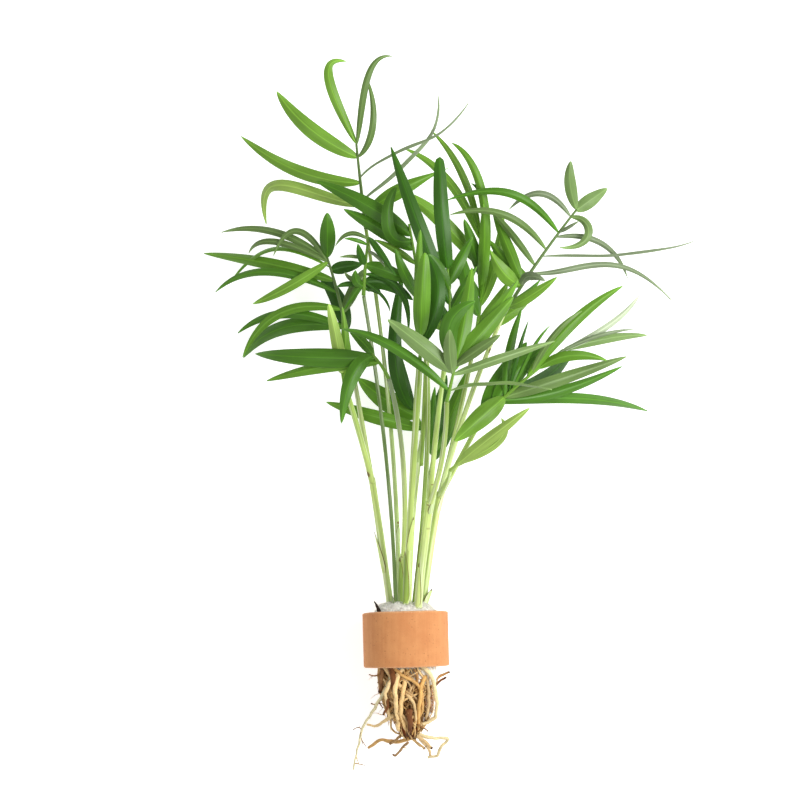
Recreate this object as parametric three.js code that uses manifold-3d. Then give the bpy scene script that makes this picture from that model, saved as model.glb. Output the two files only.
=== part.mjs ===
// A young bare-rooted parlour palm, lying on its side: a clump of seedlings held by a wool plug
// in an open clay ring. Millimetres, +Z up. While it is built, the origin is the ring's centre,
// +Y runs along the plant to its crown, and the last lines move the origin to the base centre.
import * as THREE from "three";
import { mergeVertices } from "three/addons/utils/BufferGeometryUtils.js";
import Module from "manifold-3d";

const wasm = await Module();
wasm.setup();

// ---- driving dimensions -------------------------------------------------------------------

const RING = { radius: 18, wall: 3.6, length: 22.8, chamfer: 0.5, turn: 1.5, sides: 56 };
const WOOL = { play: 0.3, top: 4.6, bottom: 1.6, sides: 24 };
const GAP = 0.3; // between solids that meet
const CLEAR = 1.75; // least distance between blades of different fronds
const FLOOR = -RING.radius; // the ring rests on its side
const LEAST_HEIGHT = 0.4; // of a blade above the floor
const BLADE = {
  steps: 6, slim: 0.013, thinnest: 0.55, root: 0.12, tip: 0.05, arch: 0.1, taper: 0.58,
};
const RIB = { sides: 6, steps: 5, from: 1.7, to: 1 };
const STALK = { sides: 7, steps: 7 };
const SPROUT = { sides: 5, steps: 4 };

const COLOURS = {
  clay: 0xd98d5c,
  wool: 0xe3e0d6,
  stalk: 0xb4cc74,
  leaf: 0x4f8a2c,
  spear: 0xa9c763,
  spike: 0x4a3220,
  root: 0xc79a63,
};

// A limb runs from one point over a second to a third. Heights count from the floor. thick holds
// the diameters at its two ends.
const limb = (name, from, over, to, thick) => ({ name, from, over, to, thick });

const STEMS = {
  stem_1: [
    limb("sheath_1", [-5.8, 9, 14], [-9.4, 36, 19], [-14.2, 67.8, 27], [3, 2.8]),
    limb("spear_stalk", [-14, 66, 27], [-19.4, 88, 38], [-25.5, 106.9, 48], [2.6, 2.1]),
    limb("left_stalk", [-14, 66, 27], [-21, 106, 26], [-24.7, 127.9, 30], [2.3, 1.6]),
  ],
  stem_2: [
    limb("dark_stalk", [-4.1, 9, 22], [-5.2, 71.4, 33], [-17.6, 143.9, 46], [1.7, 1.5]),
  ],
  stem_3: [
    limb("top_stalk", [-2.9, 9, 10], [-2.6, 84.2, 10], [-16.7, 172, 26], [2, 1.5]),
  ],
  stem_4: [
    limb("sheath_4", [-3, 9, 17], [-2.4, 22, 19], [-0.8, 36, 22], [3.4, 2.9]),
    limb("low_stalk", [-1, 34, 21.5], [1.6, 79.4, 36], [-7.1, 109.4, 56], [2.3, 1.9]),
  ],
  stem_5: [
    limb("mid_stalk", [-0.3, 9, 24], [3.2, 78, 45], [5.8, 116, 67], [2.6, 2.9]),
  ],
  stem_6: [
    limb("back_stalk", [1.3, 9, 14], [1.6, 50, 12], [7, 86, 12], [2.3, 2]),
    limb("pale_stalk", [6.4, 73, 12.1], [8, 96, 16], [8.4, 119, 26], [2, 1.7]),
  ],
  stem_7: [
    limb("inner_stalk", [3, 9, 20], [12.5, 88.4, 27], [7.6, 130, 36], [2.5, 1.8]),
    limb("folded_stalk", [7.4, 56, 23.5], [9, 63, 21.4], [10.4, 70, 18.6], [2, 1.6]),
  ],
  stem_8: [
    limb("sheath_8", [4.7, 9, 26], [7, 36, 31], [10, 58, 37], [3, 3.6]),
    limb("upper_stalk", [9.8, 56, 36.4], [12.6, 92, 45], [18.1, 127.9, 54], [2.4, 1.9]),
    limb("centre_stalk", [9.8, 56, 36.4], [17, 76, 54], [16.9, 99.8, 78], [2.4, 2]),
  ],
  stem_9: [
    limb("sheath_9", [7, 9, 16], [9.6, 36, 18], [14.4, 62, 21], [2.4, 3.2]),
    limb("right_stalk", [14, 60, 20.8], [25.6, 102, 24], [40.6, 135.8, 34], [2.4, 1.7]),
    limb("small_stalk", [14, 60, 20.8], [17, 64, 36], [18.6, 71.2, 46], [2.2, 1.6]),
    limb("wide_stalk", [14, 60, 20.8], [23.6, 78, 43], [31.2, 92.2, 52], [2.4, 1.9]),
    limb("rear_stalk", [14, 60, 20.8], [24, 98, 8], [29.5, 127.9, 16], [2.3, 1.6]),
  ],
};

// A leaflet: its place along the rib (0 to 1), its width, the plan point that it sets out for and
// the point where it ends. It may also be rolled on edge, in degrees, taper more or less steeply
// than most, or make for a second plan point before its tip.
const leaf = (at, width, over, tip, more = {}) => {
  return { at, width, over, tip, roll: 0, taper: BLADE.taper, then: null, ...more };
};

// Fronds: the stalk that carries each, its rib, and its leaflets.
const FRONDS = {
  frond_top: {
    on: "top_stalk", over: [-18.8, 188.8, 32], to: [-20.7, 207.7, 36],
    leaflets: [
      leaf(1, 4.4, [-30.9, 227.7], [-25.1, 242.4, 30], { then: [-38.6, 244.8] }),
      leaf(0.98, 3, [-17.6, 224.5], [-5.8, 244, 44], { then: [-17.8, 245.8] }),
      leaf(0.85, 3, [-12.8, 207.7], [-16.3, 235, 42], { then: [-11.6, 222.4] }),
      leaf(0.85, 6.9, [-43.2, 212.1], [-54.1, 230, 28]),
      leaf(0.56, 5.6, [-45.7, 191.4], [-69.2, 211.5, 12]),
      leaf(0.29, 5.2, [-41, 184.8], [-58.8, 174.9, 3], { then: [-65, 204] }),
      leaf(0.61, 2.4, [-5, 208.6], [26.1, 224.5, 40], { roll: 60, then: [13.6, 203.4] }),
      leaf(0.34, 2.8, [-1.6, 197.6], [13.5, 227.9, 34], { roll: 50, then: [17.4, 209.8] }),
      leaf(0.2, 6.4, [-3.3, 189], [17.7, 197.8, 26], { taper: 1.4 }),
    ],
  },
  frond_left: {
    on: "left_stalk", over: [-27.2, 142.6, 33], to: [-32.9, 160.2, 34],
    leaflets: [
      leaf(1, 6.7, [-32.5, 169.5], [-32.8, 178.7, 44]),
      leaf(0.72, 5.2, [-57, 159], [-85, 162.4, 1]),
      leaf(0.1, 6.2, [-57.5, 136.6], [-68.4, 118.4, 2]),
      leaf(0.96, 3.2, [-55, 177], [-77.6, 171.2, 10]),
      leaf(0.94, 2.8, [-61, 173.6], [-65.9, 162.3, 20]),
      leaf(0.9, 2.8, [-46.5, 183.5], [-55.4, 161.1, 30]),
      leaf(0.88, 3.2, [-57.5, 174.9], [-73.6, 150.6, 8], { roll: 55 }),
      leaf(0.56, 3.4, [-62.6, 163], [-80, 146, 12]),
      leaf(0.95, 4.4, [-50.7, 145.8], [-64.2, 140.9, 24]),
      leaf(0.05, 7, [-26, 143.6], [-36.9, 153.8, 18]),
      leaf(0.08, 4, [-53, 143.8], [-70.5, 128.7, 16]),
      leaf(0.34, 4.2, [-57.2, 145.4], [-68.4, 118.7, 22]),
      leaf(0.3, 5, [-20.4, 149.4], [-17.6, 155.4, 22]),
      leaf(0.85, 5.4, [-26, 156.4], [-18, 157.6, 28]),
    ],
  },
  spear_left: {
    on: "spear_stalk", over: [-26, 109, 50], to: [-26.6, 112, 51],
    leaflets: [
      leaf(0.9, 5.2, [-27.6, 121.6], [-32, 140.5, 60], { taper: 0.4 }),
      leaf(0.3, 3.8, [-23.9, 121.6], [-26.4, 139.2, 54]),
    ],
  },
  frond_dark: {
    on: "dark_stalk", over: [-17.1, 157.3, 49], to: [-15.5, 168.6, 50],
    leaflets: [
      leaf(0.95, 2, [-24.3, 173.7], [-29.3, 164.9, 44]),
      leaf(0.85, 1.8, [-20.5, 167.8], [-25.5, 167.8, 52]),
      leaf(0.6, 1.6, [-21.8, 161.1], [-27.6, 160.2, 50]),
      leaf(0.3, 2.4, [-22.6, 148.9], [-25.5, 153.9, 48]),
      leaf(0.5, 6, [-7.5, 155], [3.8, 148.9, 44]),
      leaf(0.2, 6, [-8.7, 152.4], [2.8, 142.4, 38]),
      leaf(1, 3, [-11.7, 163.6], [-4.1, 152.3, 56]),
      leaf(0.5, 3.4, [-18.8, 159.4], [-20, 165.6, 56]),
      leaf(0.15, 4, [-21.6, 149], [-21, 154.6, 54]),
      leaf(0.35, 3, [2.9, 152], [1, 128.6, 34]),
      leaf(0.12, 4, [-14, 149], [-10.5, 144.6, 42]),
      leaf(0.24, 3, [-21, 146], [-26, 138, 44]),
      leaf(0.75, 1.5, [-12, 161.5], [-8.7, 156, 54]),
      leaf(0.16, 2.4, [-25, 150], [-29, 147.6, 46]),
      leaf(0.22, 1.4, [-7.5, 144], [-6.6, 137.5, 44]),
    ],
  },
  frond_low: {
    on: "low_stalk", over: [-9.6, 114.9, 58], to: [-14.2, 119.9, 58],
    leaflets: [
      leaf(0.8, 8, [-37.4, 117.6], [-62.9, 119.9, 34]),
      leaf(0.62, 5, [-33.9, 116.2], [-57.9, 108.6, 40]),
      leaf(0.9, 6.4, [-24.3, 116.6], [-26.8, 90.9, 62]),
      leaf(0.95, 4.2, [-17.5, 125], [-23.5, 129.5, 52]),
    ],
  },
  frond_back: {
    on: "back_stalk", over: [6.6, 91.6, 12], to: [3, 96.4, 12],
    leaflets: [
      leaf(0.2, 6, [-12.9, 93.2], [-33.5, 99.8, 4]),
      leaf(0.7, 9.2, [-8.5, 99.4], [-20.1, 109.8, 6]),
      leaf(1, 6.2, [-6.8, 106.9], [-1.2, 154.4, 14], { then: [-6, 130] }),
      leaf(1, 5, [-1.2, 105], [-3, 122, 8]),
    ],
  },
  frond_folded: {
    on: "folded_stalk", over: [11.2, 75.5, 16.6], to: [12.2, 82, 14.4],
    leaflets: [
      leaf(1, 6.2, [12.6, 93], [17.2, 111, 11]),
      leaf(0.7, 6.4, [18.2, 92], [27, 114.5, 8]),
      leaf(0.45, 4, [17, 82], [24.5, 103, 6]),
      leaf(0.6, 4.6, [10.2, 86], [12.2, 106, 12]),
    ],
  },
  spear_mid: {
    on: "mid_stalk", over: [6, 122, 70], to: [6.2, 128, 72],
    leaflets: [
      leaf(0.9, 7.2, [6.4, 144], [7.9, 161.5, 80], { taper: 0.4 }),
      leaf(0.5, 4, [4.4, 144], [6, 171.2, 70], { taper: 0.4 }),
      leaf(0.6, 6.6, [19.4, 146.2], [8.4, 161.3, 64]),
    ],
  },
  frond_inner: {
    on: "inner_stalk", over: [6, 148.9, 40], to: [1.3, 174.1, 44],
    leaflets: [
      leaf(0.9, 7.2, [-12.6, 181.6], [-37.3, 192.2, 30]),
      leaf(0.78, 6.4, [-9.2, 171.6], [-26, 180.4, 38]),
      leaf(0.65, 3, [-4.1, 164], [-12.9, 167.4, 44]),
      leaf(0.86, 5.4, [-9.5, 163], [-4.1, 189.3, 50], { taper: 0.4, then: [-10, 180] }),
      leaf(0.62, 4, [14.4, 158.6], [19.4, 140.5, 46]),
      leaf(0.3, 4.6, [-1.4, 152.4], [-4.4, 163.6, 48]),
    ],
  },
  frond_rear: {
    on: "rear_stalk", over: [32.8, 146.8, 20], to: [31.2, 169.9, 24],
    leaflets: [
      leaf(1, 3.2, [25.8, 199.4], [10.6, 213.6, 24]),
      leaf(0.95, 3.8, [20.4, 197.8], [-0.8, 206.4, 18]),
      leaf(0.3, 3.8, [39.2, 184.8], [19.4, 208.1, 32], { then: [27.8, 203.6] }),
      leaf(0.7, 6.3, [14.4, 179.6], [-2.4, 188, 28]),
      leaf(0.45, 5, [33.7, 163.6], [32.4, 182.5, 38]),
      leaf(0.6, 5, [28.6, 164.7], [24.4, 176.2, 34]),
      leaf(0.3, 5, [39.6, 158.6], [40.8, 178.7, 16]),
      leaf(0.08, 5.4, [41.7, 133.4], [53, 144.3, 14]),
      leaf(0.4, 5, [20.7, 158.6], [7.6, 163.6, 40]),
      leaf(0.2, 6.4, [25.2, 146.4], [23.4, 162.4, 36]),
      leaf(0.9, 2.6, [36.4, 186.6], [27.4, 191.2, 34]),
      leaf(0.1, 6, [38, 137.5], [42.4, 149.5, 24]),
    ],
  },
  frond_centre: {
    on: "centre_stalk", over: [18.6, 106.9, 81], to: [20.7, 116.6, 82],
    leaflets: [
      leaf(0.3, 4.4, [-5.8, 127.5], [-26.4, 130, 74]),
      leaf(0.75, 7.4, [6, 124], [-7.5, 133.8, 84]),
      leaf(0.7, 5.6, [17.4, 121.6], [18.1, 129.6, 91]),
      leaf(1, 7.6, [30.3, 126.6], [44.6, 143.4, 74]),
      leaf(0.97, 7.8, [11.6, 134.6], [28.6, 141.4, 86]),
      leaf(0.8, 6.8, [24.6, 132], [27.4, 155.4, 72]),
      leaf(0.7, 3.9, [39.6, 118.2], [61.8, 125, 68]),
      leaf(0.3, 3, [37.5, 109.8], [60.6, 104.8, 62], { roll: 60 }),
      leaf(0.9, 4.4, [29.4, 121.4], [39, 127.6, 86]),
      leaf(0.98, 6, [34.4, 132.4], [46.6, 150.4, 68]),
    ],
  },
  frond_wide: {
    on: "wide_stalk", over: [43.8, 105.6, 58], to: [65.6, 121.6, 50],
    leaflets: [
      leaf(0.62, 5, [68.1, 135.9], [90.4, 148.1, 42]),
      leaf(0.66, 2.6, [60.6, 130.6], [73.2, 137.6, 56]),
      leaf(0.98, 2.8, [80, 127.5], [97.9, 145.1, 38], { then: [92, 135.5] }),
      leaf(0.95, 1.8, [79.5, 129.2], [95, 130, 50]),
      leaf(1, 3.9, [85.8, 127.9], [100.9, 127.7, 30]),
      leaf(0.75, 4.6, [67, 122.6], [83.7, 117, 54]),
      leaf(0.4, 7, [55.5, 104], [70.2, 120.8, 22]),
      leaf(0.34, 5.4, [63.2, 108.5], [92.1, 118.7, 38]),
      leaf(0.3, 4.6, [61.4, 100.4], [90.4, 114.6, 30]),
      leaf(0.26, 4.6, [76.6, 104.7], [101.7, 96, 3]),
      leaf(0.35, 8.4, [32, 93.9], [20.2, 83.4, 62]),
      leaf(0.35, 3.8, [41.7, 121.6], [48.4, 138.8, 46]),
      leaf(0.4, 1.8, [46.3, 120.8], [50.9, 133.4, 56]),
      leaf(0.45, 1.6, [52.6, 124.6], [59.7, 131.3, 60]),
      leaf(0.05, 9, [38.3, 108.2], [50.4, 124.6, 42]),
      leaf(0.2, 8, [44.6, 114.4], [59, 123, 44]),
    ],
  },
  frond_small: {
    on: "small_stalk", over: [20.5, 73, 49], to: [23.6, 75.4, 51],
    leaflets: [
      leaf(0.35, 5.2, [34, 84.5], [51.3, 97.2, 66]),
      leaf(0.7, 3.8, [46.8, 84.2], [39.6, 93, 60]),
    ],
  },
  frond_right: {
    on: "right_stalk", over: [53.8, 158, 34], to: [71.6, 180.4, 26],
    leaflets: [
      leaf(1, 5.2, [67.3, 191.7], [69, 200.6, 34]),
      leaf(0.99, 6, [77.8, 184.6], [84.5, 189.4, 20]),
      leaf(0.93, 3.6, [79.5, 177.5], [64.3, 164.4, 34], { then: [80, 163] }),
      leaf(0.74, 2.6, [85.8, 172.4], [93.3, 151.8, 14]),
      leaf(0.78, 1.6, [68.1, 172.8], [72.3, 175.4, 36]),
      leaf(0.56, 2.4, [79.5, 160.4], [121, 167.4, 3], { roll: 60, then: [101, 160.2] }),
      leaf(0.4, 2.6, [72, 151.8], [111.8, 143, 0.8], { then: [86.8, 168.8] }),
      leaf(0.93, 2.8, [57.2, 195.2], [43.3, 180.4, 30]),
      leaf(0.78, 3.6, [50.6, 188.7], [17.3, 184.2, 36], { then: [38.3, 191.4] }),
      leaf(0.62, 3.2, [48.6, 177.6], [18.6, 177.9, 44], { then: [35.6, 182.8] }),
      leaf(0.47, 3, [43.6, 172], [35, 181, 22]),
      leaf(0.36, 4.8, [42, 157], [34.9, 167.8, 28]),
      leaf(0.28, 6.6, [40.5, 151], [35.1, 163.4, 40], { taper: 0.8 }),
      leaf(0.3, 5, [42.2, 166], [36, 181.2, 20], { taper: 0.8 }),
      leaf(0.08, 4.8, [49.2, 141.3], [63.1, 151.8, 44]),
      leaf(0.12, 3, [49, 142.4], [56.4, 151, 24]),
      leaf(0.28, 4, [49.6, 155.2], [58, 150.4, 46]),
    ],
  },
  frond_upper: {
    on: "upper_stalk", over: [19, 138.4, 57], to: [17.3, 155.2, 58],
    leaflets: [
      leaf(1, 6.4, [14.1, 178.3], [14.1, 201.6, 58], { taper: 0.22 }),
      leaf(0.7, 5, [14.4, 156], [9.3, 161.1, 64]),
      leaf(0.8, 5, [21.5, 156.9], [27.8, 168.6, 52]),
      leaf(0.4, 4, [23.6, 146.8], [29.5, 156, 62]),
      leaf(0.2, 4.5, [13.5, 138.4], [9.3, 146.8, 60]),
      leaf(0.5, 6.5, [5, 172], [-6.2, 206, 50]),
      leaf(0.14, 4.6, [12, 131.5], [9.6, 136, 52]),
    ],
  },
};

// Roots: a core that tapers down the plant, given as half widths at places along it, and the
// bare roots that lie on it or leave it.
const ROOT_CORE = {
  middle: [0.7, 17.5],
  depth: 0.92,
  sides: 16,
  profile: [
    [0, -43],
    [4.2, -40],
    [6.6, -36],
    [8.8, -30],
    [10.3, -22],
    [10.4, -14],
    [9, -11.6],
    [0, -11.6],
  ],
};
const ROOTS = [
  limb("root", [-6, -20, 24], [-21.9, -37.4, 16.5], [-22.2, -55.2, 3], [1.7, 0.8]),
  limb("root", [-4, -31, 22], [-11.5, -37.5, 18.5], [-16.3, -35.9, 14], [1.7, 0.9]),
  limb("root", [-7, -17, 22], [-11, -14.6, 22], [-15.5, -14.7, 20], [1, 0.7]),
  limb("root", [-6, -20, 23], [-9, -18.2, 24], [-12.1, -17.9, 22], [0.9, 0.7]),
  limb("root", [1, -36, 17], [-7, -45, 12], [-15.9, -46, 7], [2, 1.2]),
  limb("root", [1.5, -38, 15], [-1, -47.4, 9], [-5.4, -48.9, 6], [1.3, 0.9]),
  limb("root", [0, -34, 16], [3.2, -43.4, 12], [8.1, -46.4, 8], [1.8, 1.1]),
  limb("root", [0, -34, 19], [5.5, -41.5, 17], [11, -46, 13], [2.2, 1.3]),
  limb("root", [5, -33, 16], [26, -41, 11], [11, -49.5, 6.5], [1.8, 1.1]),
  limb("root", [6.5, -16, 24], [17.6, -25, 27], [5, -36.2, 20], [2.1, 1.5]),
  limb("root", [7, -20, 20], [12, -17.5, 16], [18.6, -13.9, 12], [1.5, 1]),
  limb("root", [-3, -16, 26], [-5, -28, 31], [-2.6, -38.5, 20], [2.3, 1.7]),
  limb("root", [0, -17, 26], [-3.4, -29, 31], [0.6, -39, 19.5], [2, 1.5]),
  limb("root", [-6, -17, 24.5], [7, -24, 31.4], [3.4, -38, 19.5], [2, 1.2]),
  limb("root", [-7.5, -17, 20], [-12.6, -25, 21.5], [-5.4, -35.5, 18.5], [1.8, 1.2]),
  limb("root", [4, -20, 11], [8, -32, 7], [2, -40.5, 14], [2, 1.3]),
  limb("root", [-4, -20, 11], [-8, -32, 7.4], [-3, -38, 13], [2, 1.3]),
];
const SPIKE = limb("old_sheath", [-10.2, 8, 24], [-11, 13, 26], [-13.2, 16.2, 27.5], [1.9, 0.5]);

// ---- shapes -------------------------------------------------------------------------------

const vector = ([x, y, z]) => new THREE.Vector3(x, y, z + FLOOR);

function curveOf({ from, over, to }) {
  return new THREE.QuadraticBezierCurve3(vector(from), vector(over), vector(to));
}

// A closed three.js geometry as a solid that can be joined and cut.
function solidOf(geometry) {
  const bare = geometry.clone();
  bare.deleteAttribute("normal");
  bare.deleteAttribute("uv");
  const merged = mergeVertices(bare, 1e-5);
  return new wasm.Manifold(
    new wasm.Mesh({
      numProp: 3,
      vertProperties: new Float32Array(merged.attributes.position.array),
      triVerts: new Uint32Array(merged.index.array),
    }),
  );
}

// A cylinder of unit radius and length, bent along a curve. section(t) gives its half width, its
// half thickness and its roll in radians; the width lies level unless it is rolled.
function bent(curve, sides, steps, section) {
  const geometry = new THREE.CylinderGeometry(1, 1, 1, sides, steps);
  const place = geometry.attributes.position;
  const up = new THREE.Vector3(0, 0, 1);
  for (let i = 0; i < place.count; i++) {
    const t = THREE.MathUtils.clamp(place.getY(i) + 0.5, 0, 1);
    const { half, thick, roll } = section(t);
    const along = curve.getTangent(t);
    const across = new THREE.Vector3().crossVectors(along, up).normalize();
    const lift = new THREE.Vector3().crossVectors(across, along);
    across.applyAxisAngle(along, roll);
    lift.applyAxisAngle(along, roll);
    const point = curve.getPoint(t);
    point.addScaledVector(across, place.getX(i) * half);
    point.addScaledVector(lift, place.getZ(i) * thick);
    place.setXYZ(i, point.x, point.y, point.z);
  }
  return solidOf(geometry);
}

function limbSolid(shape, { sides, steps }, extra = 0) {
  const [start, end] = shape.thick;
  const section = (t) => {
    const radius = THREE.MathUtils.lerp(start, end, t) / 2 + extra;
    return { half: radius, thick: radius, roll: 0 };
  };
  return bent(curveOf(shape), sides, steps, section);
}

// The outline of a leaflet: it widens soon after its foot, keeps its width and then tapers.
function outline(t, taper) {
  const swell = Math.pow(Math.max(Math.sin(Math.PI * Math.pow(t, 0.78)), 0), taper);
  return Math.max(swell, t < 0.5 ? BLADE.root : BLADE.tip);
}

function bladeSection({ width, roll, taper }, length) {
  const thick = Math.max(BLADE.thinnest, length * BLADE.slim) / 2;
  const turn = THREE.MathUtils.degToRad(roll);
  return (t) => ({
    half: Math.max((outline(t, taper) * width) / 2, thick * 0.6),
    thick: t < 0.999 ? thick : thick * 0.4,
    roll: turn,
  });
}

// ---- keeping blades apart -----------------------------------------------------------------

// Points of the solids made so far, in cells as wide as the clearance.
const taken = new Map();
const cellOf = (p) => [p.x, p.y, p.z].map((v) => Math.floor(v / CLEAR));

function claim(points, owner) {
  for (const point of points) {
    const key = cellOf(point).join();
    if (!taken.has(key)) taken.set(key, []);
    taken.get(key).push({ point, owner });
  }
}

function isFree(points, owner) {
  return points.every((point) => {
    const [i, j, k] = cellOf(point);
    for (let a = i - 1; a <= i + 1; a++)
      for (let b = j - 1; b <= j + 1; b++)
        for (let c = k - 1; c <= k + 1; c++)
          for (const other of taken.get([a, b, c].join()) ?? [])
            if (other.owner !== owner && other.point.distanceTo(point) < CLEAR) return false;
    return true;
  });
}

// Points spread over a blade or a limb, no further apart than the clearance.
function pointsOn(curve, section) {
  const steps = Math.ceil(curve.getLength() / 1.2);
  const points = [];
  for (let i = 0; i <= steps; i++) {
    const t = i / steps;
    const { half, roll } = section(t);
    const along = curve.getTangent(t);
    const across = new THREE.Vector3().crossVectors(along, new THREE.Vector3(0, 0, 1));
    across.normalize().applyAxisAngle(along, roll);
    for (const share of [-1, -0.5, 0, 0.5, 1])
      points.push(curve.getPoint(t).addScaledVector(across, share * half));
  }
  return points;
}

function bladeCurve(foot, knots, end) {
  if (knots.length > 1) return new THREE.CubicBezierCurve3(foot, ...knots, end);
  return new THREE.QuadraticBezierCurve3(foot, ...knots, end);
}

// A leaflet's curve from its foot on the rib. Where it would touch another frond or a stem, it is
// bent up or down until it is clear.
function leafletCurve(leaflet, foot, owner) {
  const tip = vector(leaflet.tip);
  const span = Math.hypot(tip.x - foot.x, tip.y - foot.y);
  const height = (foot.z + tip.z) / 2 + span * BLADE.arch * 2;
  for (let step = 0; step < 26; step++) {
    const shift = Math.ceil(step / 2) * 2.5 * (step % 2 ? 1 : -1);
    const end = tip.clone();
    end.z = Math.max(tip.z + shift * 0.7, FLOOR + LEAST_HEIGHT);
    const bends = [leaflet.over, leaflet.then].filter(Boolean);
    const knots = bends.map(([x, y]) => new THREE.Vector3(x, y, height + shift));
    const curve = bladeCurve(foot, knots, end);
    const points = pointsOn(curve, bladeSection(leaflet, curve.getLength()));
    const low = points.some((p) => p.z < FLOOR + LEAST_HEIGHT - 0.2);
    if (!low && isFree(points, owner)) {
      claim(points, owner);
      return curve;
    }
  }
  return null;
}

// ---- assembly -----------------------------------------------------------------------------

const plant = new THREE.Group();
plant.name = "parlour_palm";

function addMesh(name, solid, colour, roughness) {
  const { vertProperties, triVerts } = solid.getMesh();
  const geometry = new THREE.BufferGeometry();
  geometry.setAttribute("position", new THREE.BufferAttribute(vertProperties, 3));
  geometry.setIndex(new THREE.BufferAttribute(triVerts, 1));
  geometry.computeVertexNormals();
  const material = new THREE.MeshStandardMaterial({ color: colour, roughness, metalness: 0 });
  const mesh = new THREE.Mesh(geometry, material);
  mesh.name = name;
  plant.add(mesh);
}

// Joins solids, drops loose scraps and fills any hollow that joining has sealed.
function joined(solids) {
  const bodies = solids.reduce((sum, next) => sum.add(next)).decompose();
  return bodies.reduce((most, next) => (next.volume() > most.volume() ? next : most));
}

// The clay ring and the plug are turned a little in the plan, as they lie.
function turned(geometry) {
  return geometry.rotateZ(THREE.MathUtils.degToRad(RING.turn));
}

function clayRing() {
  const { radius, wall, length, chamfer, sides } = RING;
  const inner = radius - wall;
  const half = length / 2;
  const profile = [
    [inner, -half],
    [radius - chamfer, -half],
    [radius, -half + chamfer],
    [radius, half - chamfer],
    [radius - chamfer, half],
    [inner, half],
    [inner, -half],
  ].map(([r, y]) => new THREE.Vector2(r, y));
  return solidOf(turned(new THREE.LatheGeometry(profile, sides)));
}

function woolPlug(cuts) {
  const radius = RING.radius - RING.wall - WOOL.play;
  const half = RING.length / 2;
  const profile = [
    [0, -half - WOOL.bottom],
    [radius * 0.8, -half - WOOL.bottom],
    [radius, -half + 1],
    [radius, half - 1],
    [radius * 0.86, half + WOOL.top * 0.6],
    [radius * 0.5, half + WOOL.top * 0.95],
    [0, half + WOOL.top],
  ].map(([r, y]) => new THREE.Vector2(r, y));
  const plug = solidOf(turned(new THREE.LatheGeometry(profile, WOOL.sides)));
  return cuts.reduce((rest, cut) => rest.subtract(cut), plug);
}

// The core, or the room for it in the plug, which is wider and reaches further by extra.
function rootCore(extra = 0) {
  const { middle, depth, sides, profile } = ROOT_CORE;
  const outer = profile.map(([r, y]) => new THREE.Vector2(r > 0 ? r + extra : 0, y + extra));
  const core = new THREE.LatheGeometry(outer, sides).scale(1, 1, depth);
  return solidOf(core.translate(middle[0], 0, middle[1] + FLOOR));
}

// Stems, and where each stalk ends.
const ends = new Map();
for (const [name, limbs] of Object.entries(STEMS)) {
  for (const stalk of limbs) {
    const curve = curveOf(stalk);
    ends.set(stalk.name, { point: curve.getPoint(1), along: curve.getTangent(1) });
    claim(pointsOn(curve, () => ({ half: stalk.thick[0] / 2, roll: 0 })), name);
  }
  addMesh(name, joined(limbs.map((stalk) => limbSolid(stalk, STALK))), COLOURS.stalk, 0.5);
}

// Ribs first, so that every leaflet keeps clear of every rib.
const ribs = new Map();
for (const [name, frond] of Object.entries(FRONDS)) {
  const { point, along } = ends.get(frond.on);
  const foot = point.clone().addScaledVector(along, GAP);
  const rib = new THREE.QuadraticBezierCurve3(foot, vector(frond.over), vector(frond.to));
  ribs.set(name, rib);
  claim(pointsOn(rib, () => ({ half: RIB.from / 2, roll: 0 })), name);
}

for (const [name, frond] of Object.entries(FRONDS)) {
  const rib = ribs.get(name);
  const ribSection = (t) => {
    const radius = THREE.MathUtils.lerp(RIB.from, RIB.to, t) / 2;
    return { half: radius, thick: radius, roll: 0 };
  };
  const solids = [bent(rib, RIB.sides, RIB.steps, ribSection)];
  for (const leaflet of frond.leaflets) {
    const curve = leafletCurve(leaflet, rib.getPoint(leaflet.at), name);
    if (curve) solids.push(bent(curve, 4, BLADE.steps, bladeSection(leaflet, curve.getLength())));
  }
  const colour = name.startsWith("spear") ? COLOURS.spear : COLOURS.leaf;
  addMesh(name, joined(solids), colour, 0.4);
}

const pockets = Object.values(STEMS).flatMap((limbs) => limbSolid(limbs[0], STALK, GAP));
pockets.push(limbSolid(SPIKE, SPROUT, GAP), rootCore(GAP));
const roots = joined([rootCore(), ...ROOTS.map((root) => limbSolid(root, SPROUT))]);
addMesh("clay_ring", clayRing(), COLOURS.clay, 0.85);
addMesh("wool_plug", woolPlug(pockets), COLOURS.wool, 1);
addMesh("old_sheath", limbSolid(SPIKE, SPROUT), COLOURS.spike, 0.8);
addMesh("roots", roots, COLOURS.root, 0.8);

// The origin goes to the centre of the base.
const box = new THREE.Box3().setFromObject(plant);
const centre = box.getCenter(new THREE.Vector3());
for (const mesh of plant.children) mesh.position.set(-centre.x, -centre.y, -box.min.z);

export default plant;
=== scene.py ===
"""A young bare-rooted parlour palm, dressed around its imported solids.

The clump lies on its side: stalks held by a wool plug in an open clay ring, fronds at one end and
bare roots at the other. The tables repeat the rows that the solids were grown from, and the same
rule bends each leaflet up or down until it is clear of its neighbours, so every fine blade lies
where its plain solid does. Table values are millimetres from the ring's centre, with heights
counted from the floor; meshes are placed in the frame's metres as they are made.
"""

from __future__ import annotations

import logging
import math
from collections.abc import Callable, Mapping, Sequence
from dataclasses import dataclass, field
from enum import Enum

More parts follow.
